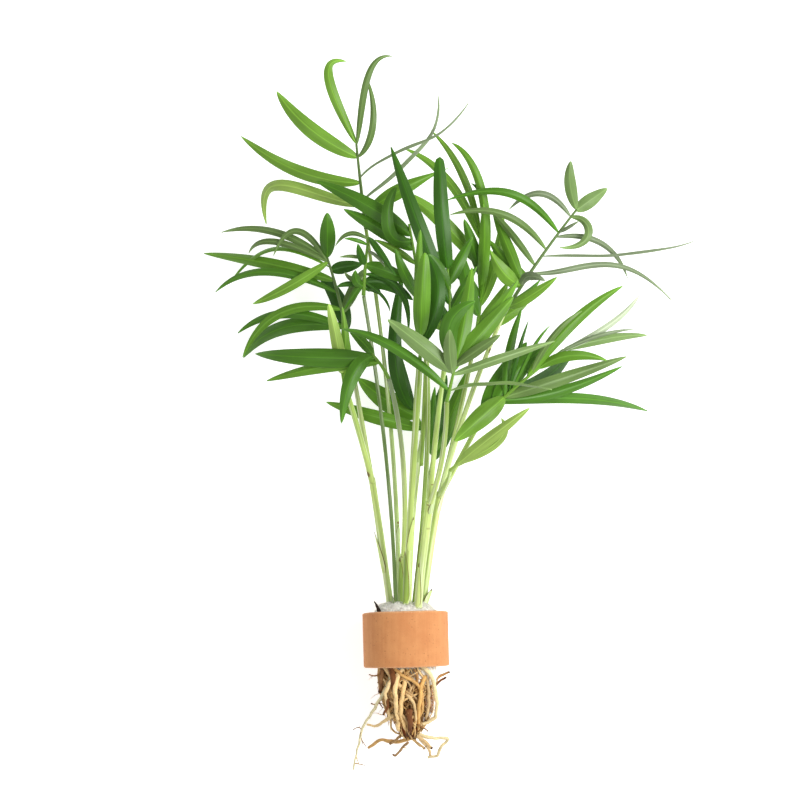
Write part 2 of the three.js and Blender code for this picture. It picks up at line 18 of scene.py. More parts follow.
import bpy
import numpy as np
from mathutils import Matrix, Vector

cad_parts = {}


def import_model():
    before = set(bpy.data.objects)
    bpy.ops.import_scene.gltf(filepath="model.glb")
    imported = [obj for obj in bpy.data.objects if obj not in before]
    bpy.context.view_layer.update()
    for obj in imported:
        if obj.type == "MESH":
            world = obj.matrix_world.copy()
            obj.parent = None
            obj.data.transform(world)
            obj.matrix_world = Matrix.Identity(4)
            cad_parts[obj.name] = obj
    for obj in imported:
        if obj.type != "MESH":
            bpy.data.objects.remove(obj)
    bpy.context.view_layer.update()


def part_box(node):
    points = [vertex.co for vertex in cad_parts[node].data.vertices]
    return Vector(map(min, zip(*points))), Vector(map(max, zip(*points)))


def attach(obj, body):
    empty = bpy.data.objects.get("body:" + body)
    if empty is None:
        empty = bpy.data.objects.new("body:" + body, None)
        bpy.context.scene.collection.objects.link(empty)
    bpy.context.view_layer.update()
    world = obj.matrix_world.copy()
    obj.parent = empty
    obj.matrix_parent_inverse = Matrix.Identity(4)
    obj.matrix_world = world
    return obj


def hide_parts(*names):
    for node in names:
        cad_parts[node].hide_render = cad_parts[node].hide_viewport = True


log = logging.getLogger("palm")

Array = np.ndarray
Point = tuple[float, float, float]
Plan = tuple[float, float]
Colour = tuple[float, float, float]
Material = bpy.types.Material
Socket = bpy.types.NodeSocket

MM = 0.001  # metres in a millimetre
UP = np.array([0.0, 0.0, 1.0])
SEED = 41
RING_TURN = 1.5  # degrees by which the clay ring lies askew in the plan


def linear(red: int, green: int, blue: int) -> Colour:
    """Turns a screen colour of 0 to 255 into the linear colour that shaders use."""
    return tuple(((c / 255 + 0.055) / 1.055) ** 2.4 if c > 10 else c / 3294 for c in (red, green, blue))


class Tone(Enum):
    """Base colours of leaves and stalks, from the darkest blades to the palest sheaths. The dark greens are
    partly painted shade and the bright greens partly painted light: blades seen in the clump's shade get
    darker tones, lit blades lighter ones, over their own greens.
    """

    DARK = linear(48, 92, 15)
    DEEP = linear(68, 114, 24)
    MID = linear(90, 135, 35)
    FRESH = linear(105, 147, 47)
    LIME = linear(148, 178, 84)
    PALE = linear(190, 206, 142)
    GREY = linear(116, 132, 98)
    MOSS = linear(93, 119, 61)
    STRAW = linear(166, 188, 120)
    UNDER = linear(110, 137, 78)
    SILVER = linear(178, 192, 160)
    SAP = linear(178, 196, 114)
    OLIVE = linear(126, 152, 66)


# ---- tables repeated from the part's source -------------------------------------------------


@dataclass(frozen=True)
class Limb:
    """A stalk: a curve over three points, with its diameters and tones at both ends."""

    name: str
    start: Point
    over: Point
    end: Point
    thick: Plan
    tones: tuple[Tone, Tone]

    def curve(self) -> Curve:
        """Makes its curve."""
        return Curve.of(self.start, self.over, self.end)


@dataclass(frozen=True)
class Strand:
    """A free root: its diameters at both ends, the points it runs through and how brown it is."""

    thick: Plan
    through: tuple[Point, ...]
    brown: float  # 0 tan, 1 brown, -1 creamy


@dataclass(frozen=True)
class Leaflet:
    """A leaflet: its place along the rib, its width, where it sets out for and where it ends.

    It may also be rolled on edge, be folded more than most, taper more or less steeply, or make
    for a second plan point before its tip.
    """

    at: float
    width: float
    over: Plan
    tip: Point
    tone: Tone
    roll: float = 0.0
    fold: float = 24.0
    taper: float = 0.58
    then: Plan | None = None


@dataclass(frozen=True)
class Frond:
    """A frond or an unopened spear: the stalk that carries it, its rib and its leaflets."""

    name: str
    stalk: str
    over: Point
    end: Point
    leaflets: tuple[Leaflet, ...]
    rib: Tone = Tone.FRESH


@dataclass(frozen=True)
class Mark:
    """A dry brown mark on a limb: its place up the plant, its reach along and its strength."""

    limb: str
    y: float
    size: float
    strength: float
    side: float = 0.0  # degrees: 0 faces up, 90 to the right

    def age(self, path: Array, angle: Array) -> Array:
        """Gives the age it adds: a bell along the limb times a lobe round it.

        Args:
            path: The limb's path, one point a row.
            angle: The angles of the points round the limb.

        Returns:
            The added age, in rows along the path and columns round it.
        """
        bell = np.exp(-(((path[:, 1] - self.y) / self.size) ** 2))[:, None]
        facing = np.cos(angle - math.radians(90 - self.side))
        return self.strength * bell * smooth(facing, 0.3, 1.0)


@dataclass(frozen=True)
class Flap:
    """A sheath's loose tip: where on its limb it starts, how long it is and how it stands off."""

    limb: str
    at: float  # share of the limb
    length: float
    side: float  # degrees: 0 faces up, 90 to the right
    arc: float  # degrees of the limb that each half covers at its foot
    lift: float  # millimetres by which its point stands off
    dry: float
    tone: Tone


DARK, DEEP, MID, FRESH, LIME, PALE, GREY, MOSS, STRAW, UNDER, SILVER, SAP, OLIVE = Tone

STEMS: dict[str, tuple[Limb, ...]] = {
    "stem_1": (
        Limb("sheath_1", (-5.8, 9, 14), (-9.4, 36, 19), (-14.2, 67.8, 27), (3, 2.8), (PALE, SAP)),
        Limb("spear_stalk", (-14, 66, 27), (-19.4, 88, 38), (-25.5, 106.9, 48), (2.6, 2.1), (SAP, LIME)),
        Limb("left_stalk", (-14, 66, 27), (-21, 106, 26), (-24.7, 127.9, 30), (2.3, 1.6), (SAP, GREY)),
    ),
    "stem_2": (
        Limb("dark_stalk", (-4.1, 9, 22), (-5.2, 71.4, 33), (-17.6, 143.9, 46), (1.7, 1.5), (MOSS, MOSS)),
    ),
    "stem_3": (
        Limb("top_stalk", (-2.9, 9, 10), (-2.6, 84.2, 10), (-16.7, 172, 26), (2, 1.5), (STRAW, OLIVE)),
    ),
    "stem_4": (
        Limb("sheath_4", (-3, 9, 17), (-2.4, 22, 19), (-0.8, 36, 22), (3.4, 2.9), (PALE, SAP)),
        Limb("low_stalk", (-1, 34, 21.5), (1.6, 79.4, 36), (-7.1, 109.4, 56), (2.3, 1.9), (SAP, GREY)),
    ),
    "stem_5": (
        Limb("mid_stalk", (-0.3, 9, 24), (3.2, 78, 45), (5.8, 116, 67), (2.6, 2.9), (SAP, OLIVE)),
    ),
    "stem_6": (
        Limb("back_stalk", (1.3, 9, 14), (1.6, 50, 12), (7, 86, 12), (2.3, 2), (SAP, PALE)),
        Limb("pale_stalk", (6.4, 73, 12.1), (8, 96, 16), (8.4, 119, 26), (2, 1.7), (LIME, OLIVE)),
    ),
    "stem_7": (
        Limb("inner_stalk", (3, 9, 20), (12.5, 88.4, 27), (7.6, 130, 36), (2.5, 1.8), (OLIVE, OLIVE)),
        Limb("folded_stalk", (7.4, 56, 23.5), (9, 63, 21.4), (10.4, 70, 18.6), (2, 1.6), (MOSS, DARK)),
    ),
    "stem_8": (
        Limb("sheath_8", (4.7, 9, 26), (7, 36, 31), (10, 58, 37), (3, 3.6), (PALE, SAP)),
        Limb("upper_stalk", (9.8, 56, 36.4), (12.6, 92, 45), (18.1, 127.9, 54), (2.4, 1.9), (SAP, LIME)),
        Limb("centre_stalk", (9.8, 56, 36.4), (17, 76, 54), (16.9, 99.8, 78), (2.4, 2), (SAP, OLIVE)),
    ),
    "stem_9": (
        Limb("sheath_9", (7, 9, 16), (9.6, 36, 18), (14.4, 62, 21), (2.4, 3.2), (PALE, SAP)),
        Limb("right_stalk", (14, 60, 20.8), (25.6, 102, 24), (40.6, 135.8, 34), (2.4, 1.7), (PALE, SAP)),
        Limb("small_stalk", (14, 60, 20.8), (17, 64, 36), (18.6, 71.2, 46), (2.2, 1.6), (SAP, LIME)),
        Limb("wide_stalk", (14, 60, 20.8), (23.6, 78, 43), (31.2, 92.2, 52), (2.4, 1.9), (SAP, LIME)),
        Limb("rear_stalk", (14, 60, 20.8), (24, 98, 8), (29.5, 127.9, 16), (2.3, 1.6), (SAP, OLIVE)),
    ),
}

MARKS: tuple[Mark, ...] = (
    Mark("sheath_1", 66, 0.5, 0.5),
    Mark("spear_stalk", 70, 1.3, 0.9, -60),
    Mark("top_stalk", 48.9, 0.5, 0.85, 50),
    Mark("top_stalk", 30, 0.4, 0.6, 60),
    Mark("sheath_4", 35, 0.4, 0.5, -40),
    Mark("mid_stalk", 55.2, 0.5, 0.6, 10),
    Mark("mid_stalk", 43.9, 2.0, 0.95, 40),
    Mark("mid_stalk", 24, 0.4, 0.5, -50),
    Mark("back_stalk", 83.2, 1.0, 1.0),
    Mark("inner_stalk", 32, 0.5, 0.7, -40),
    Mark("inner_stalk", 60, 0.4, 0.6),
    Mark("sheath_8", 47.3, 1.4, 0.45, 30),
    Mark("sheath_8", 57, 0.4, 0.6),
    Mark("upper_stalk", 65.3, 0.6, 0.6, 30),
    Mark("centre_stalk", 72, 0.5, 0.6, 20),
    Mark("sheath_9", 26, 0.5, 0.5, 60),
    Mark("sheath_9", 61.4, 0.5, 0.5),
    Mark("right_stalk", 128, 0.6, 0.6),
    Mark("right_stalk", 121.6, 1.6, 0.7, 60),
)

FLAPS: tuple[Flap, ...] = (
    Flap("sheath_1", 0.3, 21, -70, 95, 0.9, 0.75, SAP),
    Flap("dark_stalk", 0.02, 8, -60, 100, 0.7, 0.6, MOSS),
    Flap("top_stalk", 0.2, 9, 30, 100, 0.4, 0.6, STRAW),
    Flap("sheath_4", 0.02, 26, -40, 150, 0.8, 0.6, LIME),
    Flap("mid_stalk", 0.2, 16, 45, 100, 0.4, 0.6, SAP),
    Flap("mid_stalk", 0.02, 23, -50, 130, 0.6, 0.6, OLIVE),
    Flap("back_stalk", 0.82, 12, 0, 100, 0.4, 0.8, STRAW),
    Flap("inner_stalk", 0.01, 34, 20, 100, 0.6, 0.9, OLIVE),
    Flap("sheath_8", 0.02, 22, -40, 90, 0.5, 0.7, SAP),
    Flap("sheath_8", 0.86, 12, 60, 80, 0.6, 0.6, STRAW),
    Flap("sheath_9", 0.02, 12, 50, 95, 2.2, 1.0, STRAW),
    Flap("sheath_9", 0.8, 14, 70, 80, 0.7, 0.4, PALE),
)

# Leaflet tones are partly painted shade and light: blades that lie in the clump's shade get the darker
# greens, lit blades the brighter ones.
FRONDS: tuple[Frond, ...] = (
    Frond("frond_top", "top_stalk", (-18.8, 188.8, 32), (-20.7, 207.7, 36), (
        Leaflet(1, 4.4, (-30.9, 227.7), (-25.1, 242.4, 30), FRESH, then=(-38.6, 244.8)),
        Leaflet(0.98, 3, (-17.6, 224.5), (-5.8, 244, 44), MOSS, then=(-17.8, 245.8)),
        Leaflet(0.85, 3, (-12.8, 207.7), (-16.3, 235, 42), MOSS, then=(-11.6, 222.4)),
        Leaflet(0.85, 6.9, (-43.2, 212.1), (-54.1, 230, 28), FRESH),
        Leaflet(0.56, 5.6, (-45.7, 191.4), (-69.2, 211.5, 12), FRESH),
        Leaflet(0.29, 5.2, (-41, 184.8), (-58.8, 174.9, 3), LIME, then=(-65, 204)),
        Leaflet(0.61, 2.4, (-5, 208.6), (26.1, 224.5, 40), GREY, roll=60, then=(13.6, 203.4)),
        Leaflet(0.34, 2.8, (-1.6, 197.6), (13.5, 227.9, 34), GREY, roll=50, then=(17.4, 209.8)),
        Leaflet(0.2, 6.4, (-3.3, 189), (17.7, 197.8, 26), MID, taper=1.4),
    ), rib=MOSS),
    Frond("frond_left", "left_stalk", (-27.2, 142.6, 33), (-32.9, 160.2, 34), (
        Leaflet(1, 6.7, (-32.5, 169.5), (-32.8, 178.7, 44), DEEP),
        Leaflet(0.72, 5.2, (-57, 159), (-85, 162.4, 1), MID),
        Leaflet(0.1, 6.2, (-57.5, 136.6), (-68.4, 118.4, 2), DEEP),
        Leaflet(0.96, 3.2, (-55, 177), (-77.6, 171.2, 10), MOSS),
        Leaflet(0.94, 2.8, (-61, 173.6), (-65.9, 162.3, 20), MOSS),
        Leaflet(0.9, 2.8, (-46.5, 183.5), (-55.4, 161.1, 30), MOSS),
        Leaflet(0.88, 3.2, (-57.5, 174.9), (-73.6, 150.6, 8), MID, roll=55),
        Leaflet(0.56, 3.4, (-62.6, 163), (-80, 146, 12), DEEP),
        Leaflet(0.95, 4.4, (-50.7, 145.8), (-64.2, 140.9, 24), FRESH),
        Leaflet(0.05, 7, (-26, 143.6), (-36.9, 153.8, 18), DARK),
        Leaflet(0.08, 4, (-53, 143.8), (-70.5, 128.7, 16), DEEP),
        Leaflet(0.34, 4.2, (-57.2, 145.4), (-68.4, 118.7, 22), MID),
        Leaflet(0.3, 5, (-20.4, 149.4), (-17.6, 155.4, 22), MOSS),
        Leaflet(0.85, 5.4, (-26, 156.4), (-18, 157.6, 28), DARK),
    ), rib=MOSS),
    Frond("spear_left", "spear_stalk", (-26, 109, 50), (-26.6, 112, 51), (
        Leaflet(0.9, 5.2, (-27.6, 121.6), (-32, 140.5, 60), LIME, fold=34, taper=0.4),
        Leaflet(0.3, 3.8, (-23.9, 121.6), (-26.4, 139.2, 54), FRESH, fold=34),
    )),
    Frond("frond_dark", "dark_stalk", (-17.1, 157.3, 49), (-15.5, 168.6, 50), (
        Leaflet(0.95, 2, (-24.3, 173.7), (-29.3, 164.9, 44), MOSS),
        Leaflet(0.85, 1.8, (-20.5, 167.8), (-25.5, 167.8, 52), DEEP),
        Leaflet(0.6, 1.6, (-21.8, 161.1), (-27.6, 160.2, 50), MOSS),
        Leaflet(0.3, 2.4, (-22.6, 148.9), (-25.5, 153.9, 48), MOSS),
        Leaflet(0.5, 6, (-7.5, 155), (3.8, 148.9, 44), DEEP),
        Leaflet(0.2, 6, (-8.7, 152.4), (2.8, 142.4, 38), DARK),
        Leaflet(1, 3, (-11.7, 163.6), (-4.1, 152.3, 56), DARK),
        Leaflet(0.5, 3.4, (-18.8, 159.4), (-20, 165.6, 56), DARK),
        Leaflet(0.15, 4, (-21.6, 149), (-21, 154.6, 54), DEEP),
        Leaflet(0.35, 3, (2.9, 152), (1, 128.6, 34), DARK),
        Leaflet(0.12, 4, (-14, 149), (-10.5, 144.6, 42), DARK),
        Leaflet(0.24, 3, (-21, 146), (-26, 138, 44), DEEP),
        Leaflet(0.75, 1.5, (-12, 161.5), (-8.7, 156, 54), GREY),
        Leaflet(0.16, 2.4, (-25, 150), (-29, 147.6, 46), DARK),
        Leaflet(0.22, 1.4, (-7.5, 144), (-6.6, 137.5, 44), DARK),
    )),
    Frond("frond_low", "low_stalk", (-9.6, 114.9, 58), (-14.2, 119.9, 58), (
        Leaflet(0.8, 8, (-37.4, 117.6), (-62.9, 119.9, 34), DEEP),
        Leaflet(0.62, 5, (-33.9, 116.2), (-57.9, 108.6, 40), MID),
        Leaflet(0.9, 6.4, (-24.3, 116.6), (-26.8, 90.9, 62), DEEP),
        Leaflet(0.95, 4.2, (-17.5, 125), (-23.5, 129.5, 52), DEEP),
    )),
    Frond("frond_back", "back_stalk", (6.6, 91.6, 12), (3, 96.4, 12), (
        Leaflet(0.2, 6, (-12.9, 93.2), (-33.5, 99.8, 4), MID),
        Leaflet(0.7, 9.2, (-8.5, 99.4), (-20.1, 109.8, 6), MID),
        Leaflet(1, 6.2, (-6.8, 106.9), (-1.2, 154.4, 14), DARK, then=(-6, 130)),
        Leaflet(1, 5, (-1.2, 105), (-3, 122, 8), DARK),
    )),
    Frond("frond_folded", "folded_stalk", (11.2, 75.5, 16.6), (12.2, 82, 14.4), (
        Leaflet(1, 6.2, (12.6, 93), (17.2, 111, 11), DARK),
        Leaflet(0.7, 6.4, (18.2, 92), (27, 114.5, 8), MID),
        Leaflet(0.45, 4, (17, 82), (24.5, 103, 6), DEEP),
        Leaflet(0.6, 4.6, (10.2, 86), (12.2, 106, 12), DEEP),
    )),
    Frond("spear_mid", "mid_stalk", (6, 122, 70), (6.2, 128, 72), (
        Leaflet(0.9, 7.2, (6.4, 144), (7.9, 161.5, 80), MID, fold=34, taper=0.4),
        Leaflet(0.5, 4, (4.4, 144), (6, 171.2, 70), MID, fold=34, taper=0.4),
        Leaflet(0.6, 6.6, (19.4, 146.2), (8.4, 161.3, 64), DARK),
    )),
    Frond("frond_inner", "inner_stalk", (6, 148.9, 40), (1.3, 174.1, 44), (
        Leaflet(0.9, 7.2, (-12.6, 181.6), (-37.3, 192.2, 30), DEEP),
        Leaflet(0.78, 6.4, (-9.2, 171.6), (-26, 180.4, 38), DEEP),
        Leaflet(0.65, 3, (-4.1, 164), (-12.9, 167.4, 44), FRESH),
        Leaflet(0.86, 5.4, (-9.5, 163), (-4.1, 189.3, 50), DEEP, taper=0.4, then=(-10, 180)),
        Leaflet(0.62, 4, (14.4, 158.6), (19.4, 140.5, 46), DARK),
        Leaflet(0.3, 4.6, (-1.4, 152.4), (-4.4, 163.6, 48), DEEP),
    )),
    Frond("frond_rear", "rear_stalk", (32.8, 146.8, 20), (31.2, 169.9, 24), (
        Leaflet(1, 3.2, (25.8, 199.4), (10.6, 213.6, 24), FRESH),
        Leaflet(0.95, 3.8, (20.4, 197.8), (-0.8, 206.4, 18), FRESH),
        Leaflet(0.3, 3.8, (39.2, 184.8), (19.4, 208.1, 32), MID, then=(27.8, 203.6)),
        Leaflet(0.7, 6.3, (14.4, 179.6), (-2.4, 188, 28), FRESH),
        Leaflet(0.45, 5, (33.7, 163.6), (32.4, 182.5, 38), MID),
        Leaflet(0.6, 5, (28.6, 164.7), (24.4, 176.2, 34), DEEP),
        Leaflet(0.3, 5, (39.6, 158.6), (40.8, 178.7, 16), FRESH),
        Leaflet(0.08, 5.4, (41.7, 133.4), (53, 144.3, 14), FRESH),
        Leaflet(0.4, 5, (20.7, 158.6), (7.6, 163.6, 40), DEEP),
        Leaflet(0.2, 6.4, (25.2, 146.4), (23.4, 162.4, 36), DEEP),
        Leaflet(0.9, 2.6, (36.4, 186.6), (27.4, 191.2, 34), DARK),
        Leaflet(0.1, 6, (38, 137.5), (42.4, 149.5, 24), FRESH),
    )),
    Frond("frond_centre", "centre_stalk", (18.6, 106.9, 81), (20.7, 116.6, 82), (
        Leaflet(0.3, 4.4, (-5.8, 127.5), (-26.4, 130, 74), DEEP),
        Leaflet(0.75, 7.4, (6, 124), (-7.5, 133.8, 84), UNDER),
        Leaflet(0.7, 5.6, (17.4, 121.6), (18.1, 129.6, 91), UNDER),
        Leaflet(1, 7.6, (30.3, 126.6), (44.6, 143.4, 74), MID),
        Leaflet(0.97, 7.8, (11.6, 134.6), (28.6, 141.4, 86), DEEP),
        Leaflet(0.8, 6.8, (24.6, 132), (27.4, 155.4, 72), MID),
        Leaflet(0.7, 3.9, (39.6, 118.2), (61.8, 125, 68), UNDER),
        Leaflet(0.3, 3, (37.5, 109.8), (60.6, 104.8, 62), MOSS, roll=60),
        Leaflet(0.9, 4.4, (29.4, 121.4), (39, 127.6, 86), MOSS),
        Leaflet(0.98, 6, (34.4, 132.4), (46.6, 150.4, 68), MID),
    )),
    Frond("frond_wide", "wide_stalk", (43.8, 105.6, 58), (65.6, 121.6, 50), (
        Leaflet(0.62, 5, (68.1, 135.9), (90.4, 148.1, 42), MID),
        Leaflet(0.66, 2.6, (60.6, 130.6), (73.2, 137.6, 56), MOSS),
        Leaflet(0.98, 2.8, (80, 127.5), (97.9, 145.1, 38), SILVER, then=(92, 135.5)),
        Leaflet(0.95, 1.8, (79.5, 129.2), (95, 130, 50), GREY),
        Leaflet(1, 3.9, (85.8, 127.9), (100.9, 127.7, 30), UNDER),
        Leaflet(0.75, 4.6, (67, 122.6), (83.7, 117, 54), MID),
        Leaflet(0.4, 7, (55.5, 104), (70.2, 120.8, 22), DARK),
        Leaflet(0.34, 5.4, (63.2, 108.5), (92.1, 118.7, 38), MOSS),
        Leaflet(0.3, 4.6, (61.4, 100.4), (90.4, 114.6, 30), DEEP),
        Leaflet(0.26, 4.6, (76.6, 104.7), (101.7, 96, 3), DEEP),
        Leaflet(0.35, 8.4, (32, 93.9), (20.2, 83.4, 62), FRESH),
        Leaflet(0.35, 3.8, (41.7, 121.6), (48.4, 138.8, 46), DEEP),
        Leaflet(0.4, 1.8, (46.3, 120.8), (50.9, 133.4, 56), DARK),
        Leaflet(0.45, 1.6, (52.6, 124.6), (59.7, 131.3, 60), DEEP),
        Leaflet(0.05, 9, (38.3, 108.2), (50.4, 124.6, 42), DEEP),
        Leaflet(0.2, 8, (44.6, 114.4), (59, 123, 44), DEEP),
    )),
    Frond("frond_small", "small_stalk", (20.5, 73, 49), (23.6, 75.4, 51), (
        Leaflet(0.35, 5.2, (34, 84.5), (51.3, 97.2, 66), LIME),
        Leaflet(0.7, 3.8, (46.8, 84.2), (39.6, 93, 60), LIME),
    ), rib=LIME),
    Frond("frond_right", "right_stalk", (53.8, 158, 34), (71.6, 180.4, 26), (
        Leaflet(1, 5.2, (67.3, 191.7), (69, 200.6, 34), UNDER),
        Leaflet(0.99, 6, (77.8, 184.6), (84.5, 189.4, 20), UNDER),
        Leaflet(0.93, 3.6, (79.5, 177.5), (64.3, 164.4, 34), UNDER, then=(80, 163)),
        Leaflet(0.74, 2.6, (85.8, 172.4), (93.3, 151.8, 14), GREY),
        Leaflet(0.78, 1.6, (68.1, 172.8), (72.3, 175.4, 36), GREY),
        Leaflet(0.56, 2.4, (79.5, 160.4), (121, 167.4, 3), GREY, roll=60, then=(101, 160.2)),
        Leaflet(0.4, 2.6, (72, 151.8), (111.8, 143, 0.8), GREY, then=(86.8, 168.8)),
        Leaflet(0.93, 2.8, (57.2, 195.2), (43.3, 180.4, 30), GREY),
        Leaflet(0.78, 3.6, (50.6, 188.7), (17.3, 184.2, 36), DEEP, then=(38.3, 191.4)),
        Leaflet(0.62, 3.2, (48.6, 177.6), (18.6, 177.9, 44), MOSS, then=(35.6, 182.8)),
        Leaflet(0.47, 3, (43.6, 172), (35, 181, 22), MOSS),
        Leaflet(0.36, 4.8, (42, 157), (34.9, 167.8, 28), MID),
        Leaflet(0.28, 6.6, (40.5, 151), (35.1, 163.4, 40), FRESH, taper=0.8),
        Leaflet(0.3, 5, (42.2, 166), (36, 181.2, 20), MID, taper=0.8),
        Leaflet(0.08, 4.8, (49.2, 141.3), (63.1, 151.8, 44), FRESH),
        Leaflet(0.12, 3, (49, 142.4), (56.4, 151, 24), DEEP),
        Leaflet(0.28, 4, (49.6, 155.2), (58, 150.4, 46), GREY),
    ), rib=MOSS),
    Frond("frond_upper", "upper_stalk", (19, 138.4, 57), (17.3, 155.2, 58), (
        Leaflet(1, 6.4, (14.1, 178.3), (14.1, 201.6, 58), DARK, taper=0.22),
        Leaflet(0.7, 5, (14.4, 156), (9.3, 161.1, 64), DEEP),
        Leaflet(0.8, 5, (21.5, 156.9), (27.8, 168.6, 52), DEEP),
        Leaflet(0.4, 4, (23.6, 146.8), (29.5, 156, 62), DEEP),
        Leaflet(0.2, 4.5, (13.5, 138.4), (9.3, 146.8, 60), DARK),
        Leaflet(0.5, 6.5, (5, 172), (-6.2, 206, 50), DARK),
        Leaflet(0.14, 4.6, (12, 131.5), (9.6, 136, 52), FRESH),
    )),
)

FREE_ROOTS: tuple[Strand, ...] = (
    Strand((1.7, 0.8), ((-5.5, -12, 25), (-8.7, -21.2, 24), (-13.8, -29.6, 20), (-18.4, -38, 15),
                        (-19.2, -42.2, 12), (-21.3, -50.6, 6), (-22.2, -55.2, 3)), -0.9),
    Strand((1.7, 0.9), ((-5, -31.5, 23), (-9.6, -34.6, 19), (-12.9, -36.3, 16), (-16.3, -35.9, 14)), -0.2),
    Strand((0.9, 0.5), ((-9, -14.4, 22), (-12.6, -15, 21), (-15.5, -14.7, 20)), 0.6),
    Strand((0.9, 0.6), ((-7.6, -18.6, 24), (-10, -18.4, 23), (-12.1, -17.9, 22)), 0.6),
    Strand((1.0, 0.6), ((-11, -26, 21), (-12.6, -27, 21), (-14.6, -26.6, 20)), 0.7),
    Strand((0.7, 0.4), ((-11.3, -26.3, 22), (-10.8, -27.4, 23), (-10, -28.6, 23)), 0.9),
    Strand((0.5, 0.3), ((-18.4, -38, 14), (-20.4, -37.2, 13), (-22.4, -38.2, 12)), 0.7),
    Strand((0.5, 0.3), ((-19, -41, 12), (-18, -43, 11), (-16.7, -45.2, 10)), 0.7),
    Strand((0.6, 0.3), ((-21, -49, 6), (-20.4, -51, 5), (-19.6, -52.4, 5)), 0.5),
    Strand((0.6, 0.3), ((-21.6, -52.6, 4), (-19, -52.8, 4), (-16.8, -53.8, 3)), 0.5),
    Strand((1.4, 1.0), ((-7.6, -24.6, 26), (-7.9, -28.8, 26.5), (-9.2, -31.7, 25)), 1.0),
    Strand((2.0, 1.2), ((3, -41, 15), (-2.4, -43, 13), (-6.6, -43, 12), (-9.6, -42.2, 11), (-12.5, -43.5, 9),
                        (-15.9, -46, 7)), 0.3),
    Strand((1.5, 1.0), ((2, -39, 17), (-1.6, -40.5, 16), (-6.6, -44.3, 13)), 0.6),
    Strand((1.2, 0.9), ((1, -43.4, 12), (-1.6, -46, 9), (-4.1, -49.2, 7), (-5.4, -48.9, 6)), 0.7),
    Strand((1.1, 0.8), ((-6.2, -30, 22), (-6.3, -35, 18), (-5.4, -38.2, 15), (-2, -40, 14)), 0.1),
    Strand((1.8, 1.1), ((0, -38, 14), (3.6, -42.6, 12), (8.1, -46.4, 8)), 0.3),
    Strand((2.2, 1.3), ((0, -37, 19), (3.9, -40.1, 17), (8.1, -43, 15), (11, -46, 13)), 0.4),
    Strand((1.7, 1.2), ((2, -38, 15), (6, -40.1, 14), (10.2, -41.4, 13), (16.6, -41.6, 11), (17.2, -42.8, 10),
                        (14.8, -45.6, 9), (13.1, -49.2, 7), (9.3, -49.8, 6)), -0.7),
    Strand((1.6, 1.1), ((6, -42, 12), (8.4, -44.6, 9), (10.2, -47.3, 7), (10.4, -49.6, 6)), 0.3),
    Strand((0.8, 0.5), ((5, -35.4, 23), (7, -36.6, 22), (9.3, -38.6, 21)), 0.8),
    Strand((2.1, 1.5), ((6, -10, 28), (10.6, -14.9, 28), (12.3, -21.2, 26), (12.8, -27.5, 24),
                        (11.8, -33, 21), (5, -36.2, 20)), -0.4),
    Strand((1.5, 1.0), ((4, -22, 27), (8, -19.6, 25), (11.8, -17, 18), (15, -15, 15),
                        (18.4, -13.9, 13)), 0.6),
    Strand((3.2, 2.0), ((1.2, -29, 28), (1.8, -34, 26.5), (1.2, -40, 20)), 1.0),
    Strand((3.0, 2.2), ((-6, -11.5, 27), (-5.4, -16, 28.5), (-4.6, -21.5, 28)), 1.0),
    Strand((2.6, 1.6), ((-9.5, -11.5, 24), (-10.2, -16, 24.5), (-10.6, -22, 22.5)), 0.9),
    Strand((1.2, 0.9), ((11.6, -20, 18), (13.6, -18.4, 15), (16.9, -15.8, 12)), 1.0),
    Strand((2.3, 1.7), ((-3, -14, 28), (-4.4, -20, 29), (-4, -28, 28), (-3, -38, 22)), 0.0),
    Strand((2.0, 1.5), ((0, -16, 28), (-1.6, -24, 29), (-2, -31, 27), (0.6, -39, 20)), 0.0),
    Strand((2.0, 1.2), ((-9.6, -10, 25), (-5, -17, 28), (-0.6, -21, 28), (4, -29, 27), (3.4, -38, 20)), 0.2),
    Strand((1.6, 1.2), ((-7, -10, 27), (-1, -15, 29), (5, -19, 28), (7, -28, 26), (3, -38, 19)), 0.2),
    Strand((1.8, 1.3), ((-1, -12, 28), (-6.6, -18, 28), (-8.4, -24, 26), (-6.4, -33, 22)), 0.0),
    Strand((1.9, 1.4), ((9, -13, 25), (6.4, -20, 28), (5.6, -28, 27), (5.2, -39, 19)), 0.0),
    Strand((1.6, 1.3), ((4, -12, 27), (9, -17, 26), (9.6, -26, 26), (8.4, -34, 22)), 0.4),
    Strand((1.8, 1.2), ((-10.6, -9, 20), (-11.2, -15, 20), (-10, -24, 21), (-7, -33, 19)), 0.3),
    Strand((1.5, 1.0), ((-4, -30, 27), (0, -33, 26), (2.6, -40, 19)), 0.4),
)


# ---- curves and surfaces ----------------------------------------------------------------------


def unit(vectors: Array) -> Array:
    """Scales vectors to length one, along the last axis."""
    return vectors / np.maximum(np.linalg.norm(vectors, axis=-1, keepdims=True), 1e-12)


def smooth(values: Array, low: float, high: float) -> Array:
    """Rises from 0 at low to 1 at high, with level ends: 3s^2 - 2s^3 of the share s."""
    share = np.clip((values - low) / (high - low), 0.0, 1.0)
    return share * share * (3 - 2 * share)


def between(ends: Sequence, share: Array | float) -> Array:
    """Runs from the first end to the second: first + (second - first) * share."""
    first, second = np.asarray(ends, float)
    return first + (second - first) * share


def turns(count: int) -> Array:
    """Gives evenly spread angles for one turn, without its end."""
    return np.linspace(0, math.tau, count, endpoint=False)


def joined(*parts: Array | float) -> Array:
    """Joins the parts of vectors, each spread over the whole grid."""
    return np.stack(np.broadcast_arrays(*parts), axis=-1)


